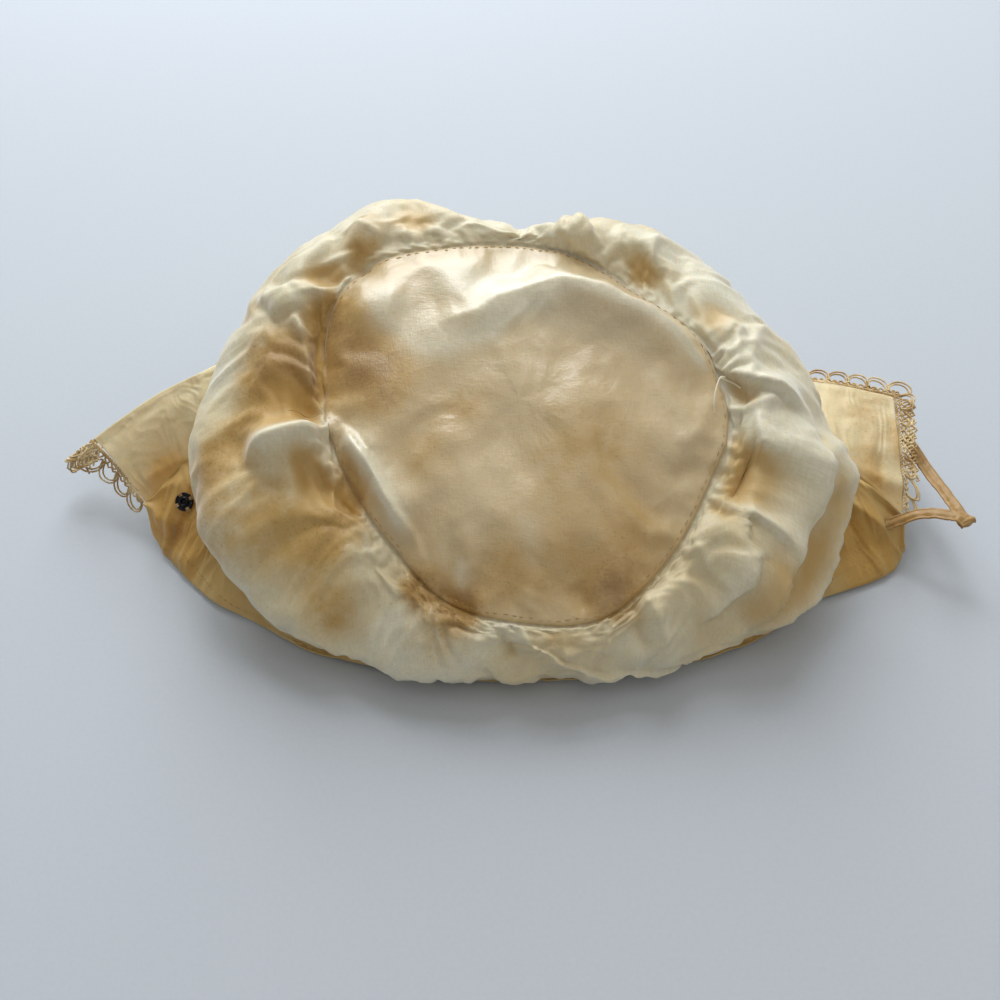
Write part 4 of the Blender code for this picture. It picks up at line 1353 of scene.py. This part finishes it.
@dataclass(frozen=True)
class Lace:
    """The crocheted edging along the brim's long edge and both short ends.

    A twisted foundation runs along the satin's edge, a zigzag row stands on it, and a row of loops
    stands on that. Near the right corner and at the left tip it is worked close, row on row.
    """

    brim: Band
    close_rows: tuple[float, ...] = (0.38, 0.50, 0.62, 0.74, 0.85)
    width: float = 6.2
    pitch: float = 5.7
    yarn: float = 0.27
    gap: float = 0.45
    behind: float = 0.8
    drop: float = 2.0
    turn: int = 10
    droop: float = 1.2
    hangs_from: float = 0.76
    hangs_over: float = 0.07
    hang_way: tuple[float, float, float] = (0.0, 0.3, -1.0)
    starts_at: float = 0.06
    flat_from: float = 6.0
    flat_over: float = 4.0
    corner: float = 0.2
    tip: float = 1.4
    left_stretch: tuple[float, float] = (1.7, 0.8)
    lowest: float = 0.5
    # where the close rows run, in millimetres from the right end and back from the left one
    close_right: tuple[float, float] = (12.0, 38.5)
    close_left: tuple[float, float] = (31.0, 19.0)
    low_loops: tuple[float, float, float] = (12.0, 36.0, 0.72)
    sides: int = 6

    def path(self) -> tuple[Array, Array]:
        """The edging's inner line and the way it runs out from there, its length in the way's own.

        It lies flat on the table at the far side and hangs behind the left wing's long edge.

        Returns:
            The line's points and its outward ways.
        """
        brim_point = self.brim.point
        short, face = np.linspace(self.starts_at, 1.0, 60), np.linspace(0.0, 1.0, 600)
        none, step = 0 * short, 2e-3
        right = brim_point(short, none)
        right_way = unit(right - brim_point(short, none + step))
        long = brim_point(0 * face + 1.0, face)
        long_out = unit(long - brim_point(0 * face + 1.0 - step, face))
        long_out[:, 2] *= 1.0 - np.clip((self.flat_from - long[:, 2]) / self.flat_over, 0.0, 1.0)
        hang = np.clip((face - self.hangs_from) / self.hangs_over, 0.0, 1.0)[:, None]
        long_way = unit(long_out * (1.0 - hang) + np.array(self.hang_way) * hang)
        left = brim_point(short[::-1], none + 1.0)
        fall = self.droop * ease(0.0, 0.5, 1.0 - short[::-1])
        left_way = unit(unit(left - brim_point(short[::-1], none + 1.0 - step)) + np.outer(fall, [0.0, 0.0, -1.0]))
        turn = np.linspace(0.0, 1.0, self.turn)[1:-1, None]
        still = np.ones((self.turn - 2, 1))
        first = unit(right_way[-1] * (1 - turn) + long_way[0] * turn)
        last = unit(long_way[-1] * (1 - turn) + left_way[0] * turn)
        last_out = unit(long_out[-1] * (1 - turn) + left_way[0] * turn)
        points = np.concatenate([right, still * long[0], long, still * long[-1], left])
        ways = np.concatenate([right_way, first, long_way, last, left_way])
        outs = np.concatenate([right_way, first, long_out, last_out, left_way])
        behind = np.concatenate([none, still[:, 0] * 0, hang[:, 0], 1 - turn[:, 0], none])
        swing = np.sin(np.pi * turn[:, 0])
        left_end = np.linspace(*self.left_stretch, len(short))
        stretches = [none + 1.0, 1.0 + self.corner * swing, 1.0 + 0 * face, 1.0 + self.tip * swing, left_end]
        stretch = np.concatenate(stretches)
        start = points + outs * (self.gap + self.behind * behind)[:, None] - np.outer(behind, [0.0, 0.0, self.drop])
        return start, ways * stretch[:, None]

    def lay(self, line: Array, ways: Array, length: Array, at: Array, out: Array, lift: Array) -> tuple[Array, Array]:
        """Points of the edging from a distance along it, a share of its width and a height over it.

        Args:
            line: the inner line.
            ways: its outward ways.
            length: the running length at each point of the middle line.
            at: distances along.
            out: shares of the width.
            lift: heights in millimetres.

        Returns:
            The points, and the way that the edging faces there.
        """
        middle = line + ways * 3.0
        base, way, ahead, behind = (
            np.stack([np.interp(at + shift, length, rows[:, axis]) for axis in range(3)], axis=-1)
            for rows, shift in ((line, 0.0), (ways, 0.0), (middle, 0.6), (middle, -0.6))
        )
        face = unit(np.cross(way, ahead - behind))
        face = np.where(face[..., 2:] < -0.2, -face, face)
        spot = base + way * (out * self.width)[..., None] + face * lift[..., None]
        spot[..., 2] = np.maximum(spot[..., 2], self.lowest)
        return spot, face

    def build(self, finish: bpy.types.Material) -> bpy.types.Object:
        """Builds all its yarns as one mesh of two-ply tubes.

        Args:
            finish: its yarn.

        Returns:
            The piece, standing for the lace's solid.
        """
        line, ways = self.path()
        middle = line + unit(ways) * self.width * 0.5
        length = np.concatenate([[0.0], np.cumsum(np.linalg.norm(np.diff(middle, axis=0), axis=1))])
        cells = int(round(length[-1] / self.pitch))
        pitch = length[-1] / cells
        chance = np.random.default_rng(11)
        points, faces = [], []

        def add(at: Array, out: Array, lift: Array, radius: float) -> None:
            """Adds two-ply yarns along these distances, shares and heights."""
            spot, face = self.lay(line, ways, length, at, out, lift)
            steps = np.cumsum(np.linalg.norm(np.diff(spot, axis=1), axis=2), 1)
            run = np.concatenate([np.zeros((len(spot), 1)), steps], 1)
            ring = np.arange(self.sides) * 2 * np.pi / self.sides
            ply = 1.0 + 0.16 * np.cos(2 * ring - run[..., None] * 5.2)
            made, added = tubes(spot, face, radius * ply, self.sides)
            start = sum(len(block) for block in points)
            points.append(made)
            faces.extend([corner + start for corner in corners] for corners in added)

        far = np.linspace(0.0, length[-1], cells * 16)[None]
        wave = far / pitch * 2 * np.pi
        add(far, 0.05 + 0.045 * np.sin(wave * 3), 0.20 * np.cos(wave * 3), self.yarn)
        add(far, 0.05 - 0.045 * np.sin(wave * 3), -0.20 * np.cos(wave * 3), self.yarn)
        add(far, 0.17 + 0.11 * (2 / np.pi) * np.arcsin(np.sin(wave * 2)), 0.15 * np.cos(wave * 4), self.yarn)
        add(far, 0.29 + 0.03 * np.sin(wave * 3 + 1.0), 0.2 * np.cos(wave * 3), self.yarn)

        left = [length[-1] - back for back in self.close_left]
        for start, end in (self.close_right, left):
            close = np.linspace(start, end, int((end - start) * 15))[None]
            wave = close / pitch * 2 * np.pi
            for level in self.close_rows:
                zigzag = 0.06 * np.arcsin(np.sin(wave * 2.2 + level * 9.0)) + 0.03 * np.sin(wave * 0.7 + level * 5.0)
                add(close, level + zigzag, 0.25 * np.cos(wave * 3 + level * 20.0), self.yarn * 1.05)

        turn = np.linspace(-0.06, 1.06, 22)[None] * np.pi
        cell = (np.arange(cells) + 0.5)[:, None] * pitch
        tall = chance.uniform(0.86, 1.1, (cells, 1))
        low_from, low_to, low = self.low_loops
        tall[(cell > low_from) & (cell < low_to)] = low
        lean = chance.uniform(-0.5, 0.5, (cells, 1))
        tilt = chance.uniform(-0.5, 0.5, (cells, 1))
        for ply, size in ((0, 0.56), (1, 0.47)):
            swell = np.abs(np.cos(turn)) ** 0.85 * np.sign(np.cos(turn))
            at = cell - size * pitch * swell + lean * np.sin(turn) ** 2
            out = 0.28 + (0.70 - 0.12 * ply) * tall * np.clip(np.sin(turn), -0.05, 1.0)
            lift = (0.22 - 0.4 * ply) + tilt * np.clip(np.sin(turn), 0.0, 1.0) + 0.28 * np.cos(turn) * (1 - 2 * ply)
            add(np.clip(at, 0.0, length[-1]), out, lift, self.yarn * 0.95)
        piece = new_piece("lace_yarn", np.concatenate(points), faces, finish)
        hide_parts("lace_edging")
        return piece


@dataclass(frozen=True)
class TieRibbon:
    """The narrow tie: a flat strip along its stations, with thick selvedges and a folded end."""

    centre: tuple[float, float]
    thickness: float = 0.45
    lengths: int = 260
    columns: int = 13
    flat_length: float = 62.0
    flat_half: float = 1.8
    nearby: float = 0.004
    # x y z of the middle line from the crown's middle, then its half width as a vector
    stations: tuple[tuple[float, ...], ...] = (
        (110.6, 22.0, 18.4, 1.6, 0.5, 0.3),
        (113.0, 16.5, 16.8, 1.6, 0.6, 0.2),
        (115.2, 9.4, 16.4, 1.65, 0.6, 0.1),
        (117.0, 1.1, 18.0, 1.7, 0.5, 0.0),
        (118.3, -6.6, 19.4, 1.7, 0.5, 0.0),
        (119.4, -12.0, 19.8, 2.0, 1.0, 0.0),
        (119.9, -13.6, 20.6, 2.1, 1.2, 0.0),
        (119.0, -12.8, 21.5, 1.9, 1.3, 0.0),
        (115.6, -10.6, 21.2, 1.0, 1.5, 0.0),
        (109.4, -7.0, 17.8, 0.4, 1.7, 0.2),
        (104.6, -5.7, 13.8, 0.3, 1.4, 0.9),
        (101.3, -5.3, 11.2, 0.2, 1.2, 1.1),
    )

    def build(self, finish: bpy.types.Material) -> bpy.types.Object:
        """Builds the strip: its middle line plus its half width times -1 to 1, with a shallow lengthwise crease.

        Args:
            finish: its silk.

        Returns:
            The piece, standing for the ribbon's solid.
        """
        along = np.tile(np.linspace(0.0, 1.0, self.lengths), self.columns)
        across = np.repeat(np.linspace(-1.0, 1.0, self.columns), self.lengths)
        row, step, back = (
            smooth_rows(self.stations, np.clip(along + shift, 0, 1) * (len(self.stations) - 1), False)
            for shift in (0.0, self.nearby, -self.nearby)
        )
        middle = np.array([*self.centre, 0.0]) + row[:, :3]
        normal = unit(np.cross(row[:, 3:], step[:, :3] - back[:, :3]))
        here = np.stack([along * self.flat_length, across * self.flat_half], axis=-1)
        dip = 0.16 * np.cos(across * np.pi * 1.5) + 0.10 * Waves(21, 7.0).at(here) + 0.05 * Waves(22, 2.5).at(here)
        points = middle + row[:, 3:] * across[:, None] + normal * dip[:, None]
        piece = new_piece("tie_strip", points, grid_quads(self.columns, self.lengths, False).tolist(), finish)
        give_uv(piece, here)
        marks = np.zeros((len(points), 4))
        marks[:, 0] = 0.3
        marks[:, 1] = 0.5 * ease(0.75, 1.0, np.abs(across)) + 0.4 * ease(0.93, 1.0, along)
        give_marks(piece, marks)
        add_wall(piece, self.thickness, 0.0)
        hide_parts("tie_ribbon")
        return piece


@dataclass(frozen=True)
class PressStud:
    """The small dark snap fastener: a turned disc with a raised ring, a socket and sewing holes."""

    band: Band
    seat: tuple[float, float] = (0.53, 0.075)
    lift: float = 0.35
    around: int = 64
    thread: float = 0.13
    thread_run: tuple[float, float] = (1.75, 3.1)
    # radius and height, from the middle of the socket over the ring and the rim to the underside
    outline: tuple[tuple[float, float], ...] = (
        (0.001, 0.60),
        (0.35, 0.58),
        (0.60, 0.72),
        (0.72, 1.15),
        (0.90, 1.46),
        (1.10, 1.50),
        (1.28, 1.38),
        (1.42, 1.05),
        (1.50, 0.78),
        (1.62, 0.70),
        (2.25, 0.66),
        (2.42, 0.74),
        (2.56, 0.66),
        (2.60, 0.42),
        (2.50, 0.10),
        (2.30, 0.02),
        (0.001, 0.0),
    )

    def frame(self) -> tuple[Array, Array, Array, Array]:
        """The stud's seat on the band, and the two ways along it and the one up from it."""
        across, along = self.seat
        spot = self.band.point(np.array([across]), np.array([along]))[0]
        ahead, behind = (self.band.point(np.array([across + step]), np.array([along]))[0] for step in (0.01, -0.01))
        out = ahead - behind
        up = self.band.normal(np.array([across]), np.array([along]))[0]
        first = unit(out - up * (out @ up))
        return spot + up * self.lift, first, np.cross(up, first), up

    def build(self, finish: bpy.types.Material, thread: bpy.types.Material) -> list[bpy.types.Object]:
        """Turns the outline round the stud's axis, and sews it on with looped threads.

        Args:
            finish: its metal.
            thread: its sewing thread.

        Returns:
            The stud, standing for its solid, and its threads.
        """
        spot, first, second, up = self.frame()
        outline = smooth_rows(self.outline, np.linspace(0, len(self.outline) - 1, 70), False)
        turn = np.arange(self.around) * 2 * np.pi / self.around
        ring = np.cos(turn)[:, None] * first + np.sin(turn)[:, None] * second
        points = spot + outline[:, None, :1] * ring[None] + outline[:, None, 1:] * up
        quads = grid_quads(len(outline), self.around, True)
        stud = new_piece("press_stud_cap", points.reshape(-1, 3), quads.tolist(), finish)
        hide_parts("press_stud")

        angle = np.repeat(np.radians([45.0, 135.0, 225.0, 315.0]), 3) + np.tile([-0.16, 0.0, 0.16], 4)
        out = np.linspace(*self.thread_run, 14)
        hump = 0.72 + 0.22 * np.sin(np.linspace(0.15, 1.0, 14) * np.pi) - 0.95 * ease(2.5, self.thread_run[1], out)
        way = np.cos(angle)[:, None] * first + np.sin(angle)[:, None] * second
        paths = spot + way[:, None] * out[None, :, None] + up * hump[None, :, None]
        made, faces = tubes(paths, np.broadcast_to(up, paths.shape), np.full((1, 1, 1), self.thread), 6)
        sewing = new_piece("press_stud_thread", made, faces, thread)
        return [stud, sewing]


@dataclass(frozen=True)
class Needlework:
    """Running stitches along the crown seam, the threads that have worked loose, and the hem's stitches."""

    body: SilkBody
    neck: BandCloth
    pitch: float = 2.3
    stitch: float = 1.25
    thread: float = 0.10
    loose_thread: float = 0.21
    dark_thread: float = 0.11
    hem_thread: float = 0.09
    hem_stitches: int = 120
    hem_inset: float = 2.2
    # angle, reach and height over the cloth of the threads that have worked loose
    hook: tuple[tuple[float, ...], ...] = (
        (7.5, 1.15, 0.3),
        (9.5, 1.10, 1.6),
        (11.0, 1.03, 2.6),
        (10.5, 0.965, 2.9),
        (7.0, 0.925, 2.4),
        (3.5, 0.91, 1.4),
        (1.0, 0.915, 0.3),
    )
    stray: tuple[tuple[float, ...], ...] = (
        (180.5, 1.24, 1.2),
        (180.0, 1.17, 1.0),
        (180.0, 1.10, 0.8),
        (179.0, 1.02, 0.2),
    )

    def dashes(self, angle: Array, reach: Array, thread: float) -> tuple[Array, list]:
        """Tubes that arch over the cloth between an angle and the next.

        Args:
            angle: plan angles of each stitch's points.
            reach: their reaches.
            thread: the thread's radius.

        Returns:
            Points and faces.
        """
        points = self.body.surface(angle, reach)
        up = self.body.form.normal(angle, reach)
        arch = np.sin(np.linspace(0.0, 1.0, angle.shape[1]) * np.pi)[None, :, None]
        return tubes(points + up * (arch * 2.2 - 0.9) * thread, up, np.full((1, 1, 1), thread), 6)

    def build(self, pale: bpy.types.Material, dull: bpy.types.Material) -> list[bpy.types.Object]:
        """Builds the threads.

        Args:
            pale: the finish of the pale loose thread.
            dull: the finish of the stitches and the dark loose thread.

        Returns:
            The pieces.
        """
        count = int(2 * np.pi * self.body.form.spread / self.pitch)
        chance = np.random.default_rng(5)
        start = np.arange(count)[:, None] * 360.0 / count + chance.uniform(-0.3, 0.3, (count, 1))
        sweep = 360.0 / count * self.stitch / self.pitch * chance.uniform(0.7, 1.2, (count, 1))
        angle = start + sweep * np.linspace(0.0, 1.0, 9)
        reach = 0.968 + chance.uniform(-0.004, 0.004, (count, 1)) + 0.0 * angle
        points, faces = self.dashes(angle, reach, self.thread)
        seam = new_piece("seam_stitches", points, faces, dull)

        ends = []
        loose = ("loose_thread", self.hook, self.loose_thread, pale)
        dark = ("dark_thread", self.stray, self.dark_thread, dull)
        for name, knots, radius, finish in (loose, dark):
            knot = smooth_rows(knots, np.linspace(0, len(knots) - 1, 60), False)
            up = self.body.form.normal(knot[:, 0], knot[:, 1])
            line = (self.body.surface(knot[:, 0], knot[:, 1]) + up * knot[:, 2:])[None]
            made, sides = tubes(line, np.broadcast_to([0.0, 0.0, 1.0], line.shape), np.full((1, 1, 1), radius), 8)
            ends.append(new_piece(name, made, sides, finish))

        along = (np.arange(self.hem_stitches)[:, None] + np.linspace(0.1, 0.62, 7)) / self.hem_stitches
        across = 1.0 - self.hem_inset / self.neck.width + 0.0 * along
        spots = self.neck.surface(across, along)
        up = self.neck.band.normal(across, along)
        arch = np.sin(np.linspace(0.0, 1.0, 7) * np.pi)[None, :, None]
        made, sides = tubes(spots + up * (0.16 * arch - 0.04), up, np.full((1, 1, 1), self.hem_thread), 6)
        hem = new_piece("hem_stitches", made, sides, dull)
        return [seam, hem, *ends]


# The studio


@dataclass(frozen=True)
class Studio:
    """A pale floor, soft window-like light from behind, and the camera at the photograph's angle."""

    look: tuple[float, float, float] = (-0.0022, -0.0343, 0.036)
    distance: float = 0.355
    elevation: float = 47.0
    lens: float = 50.0
    floor_tone: Colour = tone(190, 197, 206)
    world_tone: Colour = (1.0, 0.96, 0.90)
    world_strength: float = 0.34
    aim: tuple[float, float, float] = (0.0, -0.01, 0.03)
    # name, place in metres, side, watts and tint
    lamps: tuple[tuple, ...] = (
        ("window", (-0.14, 0.80, 0.60), 0.8, 10.5, (0.94, 0.98, 1.0)),
        ("pane", (-0.05, 0.42, 0.88), 0.3, 2.0, (0.96, 0.98, 1.0)),
        ("room", (0.30, -0.30, 1.2), 1.4, 3.0, (1.0, 0.95, 0.86)),
    )

    def camera(self) -> None:
        """Stands the camera at its distance from the point that it looks at."""
        data = bpy.data.cameras.new("camera")
        data.lens = self.lens
        data.sensor_width = 36.0
        data.clip_start = 0.01
        rise = np.radians(self.elevation)
        back = Vector((0.0, -np.cos(rise), np.sin(rise)))
        camera = bpy.data.objects.new("camera", data)
        camera.location = Vector(self.look) + back * self.distance
        camera.rotation_euler = (-back).to_track_quat("-Z", "Y").to_euler()
        bpy.context.scene.collection.objects.link(camera)
        bpy.context.scene.camera = camera

    def lamp(self, name: str, place: tuple[float, float, float], size: float, power: float, colour: Colour) -> None:
        """A square area light turned towards the bonnet.

        Args:
            name: its name.
            place: where it hangs, in metres.
            size: its side.
            power: its watts.
            colour: its tint.
        """
        data = bpy.data.lights.new(name, "AREA")
        data.shape = "SQUARE"
        data.size = size
        data.energy = power
        data.color = colour
        light = bpy.data.objects.new(name, data)
        light.location = place
        light.rotation_euler = (Vector(self.aim) - Vector(place)).to_track_quat("-Z", "Y").to_euler()
        bpy.context.scene.collection.objects.link(light)

    def floor(self) -> None:
        """Lays the pale table under the bonnet."""
        make = Shading("pale_table")
        place = make.add("ShaderNodeTexCoord").outputs["Object"]
        fine = make.noise(place, 900.0, 2.0)
        darker = tuple(0.93 * share for share in self.floor_tone)
        make.join(make.blend(fine, self.floor_tone, darker), make.shader.inputs["Base Color"])
        make.set(Roughness=0.9, Specular_IOR_Level=0.1)
        make.join(make.bump(fine, 0.1, 0.15), make.shader.inputs["Normal"])
        mesh = bpy.data.meshes.new("table")
        mesh.from_pydata([(-3, -3, 0), (3, -3, 0), (3, 3, 0), (-3, 3, 0)], [], [(0, 1, 2, 3)])
        mesh.materials.append(make.material)
        table = bpy.data.objects.new("table", mesh)
        bpy.context.scene.collection.objects.link(table)

    def build(self) -> None:
        """Builds camera, lights, world and floor."""
        self.camera()
        for lamp in self.lamps:
            self.lamp(*lamp)
        world = bpy.data.worlds.new("room")
        world.use_nodes = True
        background = world.node_tree.nodes["Background"]
        background.inputs["Color"].default_value = (*self.world_tone, 1.0)
        background.inputs["Strength"].default_value = self.world_strength
        bpy.context.scene.world = world
        bpy.context.scene.view_settings.view_transform = "Standard"
        self.floor()


BRIM_CREASES = (
    BandCrease(((0.0, 0.23), (0.051, 0.10), (0.089, 0.0)), 1.8, 1.4),
    BandCrease(((0.02, 0.42), (0.06, 0.35)), 2.4, 0.5),
    BandCrease(((0.978, 0.18), (0.957, 0.15), (0.925, 0.03)), 1.8, 0.9),
    BandCrease(((0.90, 0.60), (0.97, 0.50)), 3.0, 0.4),
)
NECK_CREASES = (
    BandCrease(((0.995, 0.02), (0.973, 0.03), (0.943, 0.18)), 1.8, 1.3),
    BandCrease(((0.985, 0.20), (0.955, 0.25)), 2.0, -1.2),
    BandCrease(((0.910, 0.45), (0.927, 0.53), (0.949, 0.62), (0.958, 0.78), (0.973, 0.95)), 1.9, 2.2),
    BandCrease(((0.841, 0.73), (0.879, 0.78), (0.921, 0.78), (0.953, 0.70)), 1.8, -1.6),
    BandCrease(((0.812, 0.95), (0.859, 0.92), (0.913, 0.93)), 2.0, 0.9),
    BandCrease(((0.0, 0.28), (0.028, 0.68), (0.071, 0.72), (0.114, 0.70)), 1.6, 1.6),
    BandCrease(((0.024, 0.90), (0.063, 0.84), (0.108, 0.76)), 1.8, -1.4),
    BandCrease(((0.048, 1.0), (0.097, 0.95), (0.143, 0.86)), 1.8, 1.2),
    BandCrease(((0.008, 0.15), (0.026, 0.20), (0.055, 0.35)), 1.4, 1.2),
)
BRIM_STAINS_AND_SHADE = (
    BandStainAndShade(0.956, 0.05, 7.0, 0.7, 0.2),
    BandStainAndShade(0.936, 0.0, 6.0, 0.5, 0.2),
    BandStainAndShade(0.0, 0.60, 6.0, 0.4, 0.15),
    BandStainAndShade(0.060, 0.12, 7.0, 0.4, 0.1),
    # painted shade: a wide brown patch that darkens the right wing
    BandStainAndShade(0.045, 0.62, 22.0, 0.14, 0.46),
)
NECK_STAINS = (
    BandStainAndShade(0.071, 0.80, 6.0, 0.9, 0.8),
    BandStainAndShade(0.105, 0.55, 6.0, 0.6, 0.4),
    BandStainAndShade(0.136, 0.88, 8.0, 0.6, 0.3),
    BandStainAndShade(0.034, 0.45, 5.0, 0.7, 0.4),
    BandStainAndShade(0.865, 0.70, 9.0, 0.7, 0.3),
    BandStainAndShade(0.899, 0.88, 7.0, 0.5, 0.4),
    BandStainAndShade(0.935, 0.72, 5.0, 0.6, 0.4),
)


def main() -> None:
    """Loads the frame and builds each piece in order."""
    logging.basicConfig(level=logging.INFO, format="%(name)s: %(message)s")
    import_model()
    Studio().build()

    body = SilkBody()
    crown_silk = SilkFinish(
        "crown_silk", tone(216, 194, 154), tone(203, 177, 131), roughness=0.40, sheen=0.35, gloss=0.9, index=1.6
    )
    puff_silk = SilkFinish("puff_silk", tone(236, 229, 206), tone(224, 206, 168), roughness=0.52, sheen=0.4)
    brim_silk = SilkFinish("brim_satin", tone(234, 224, 192), tone(219, 203, 164), roughness=0.62)
    neck_silk = SilkFinish("band_silk", tone(214, 192, 140), tone(196, 166, 104), roughness=0.52)
    ribbon_silk = SilkFinish("ribbon", tone(190, 162, 114), tone(152, 120, 72), roughness=0.5, threads=1400.0)
    lace_yarn = YarnFinish("lace_thread", tone(226, 204, 158), tone(176, 142, 88)).material()
    dull_thread = YarnFinish("sewing_thread", tone(196, 170, 120), tone(160, 124, 74)).material()
    pale_thread = YarnFinish("loose_cotton", tone(246, 240, 222), tone(232, 222, 196)).material()
    stud_metal = MetalFinish("stud_metal", tone(26, 26, 30), tone(92, 94, 98)).material()

    crown = Crown(body).build(crown_silk.material())
    puff = Puff(body).build(puff_silk.material())
    brim_line, neck_line = brim_band(body.form), neck_band(body.form)
    brim_cloth = BandCloth(
        "brim_sheet", "brim", "brim_satin", brim_line, BAND_LENGTH, 28.0, BRIM_CREASES, BRIM_STAINS_AND_SHADE, 70, ripple=0.28
    )
    neck_cloth = BandCloth(
        "neck_sheet", "neck_band", "band_silk", neck_line, BAND_LENGTH, 16.0, NECK_CREASES, NECK_STAINS, 80, warmth=0.35
    )
    brim = brim_cloth.build(body, brim_silk.material())
    neck = neck_cloth.build(body, neck_silk.material())
    lace = Lace(brim_line).build(lace_yarn)
    ribbon = TieRibbon(body.form.centre).build(ribbon_silk.material())
    studs = PressStud(neck_line).build(stud_metal, dull_thread)
    threads = Needlework(body, neck_cloth).build(pale_thread, dull_thread)
    for piece in (crown, puff, brim, neck, lace, ribbon, *studs, *threads):
        log.info("%s: %d faces", piece.name, len(piece.data.polygons))
    for piece in (crown, puff, brim, neck):
        log.info("%s: %.5f m2 of cloth", piece.name, sum(face.area for face in piece.data.polygons))

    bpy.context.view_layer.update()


if __name__ == "__main__":
    main()
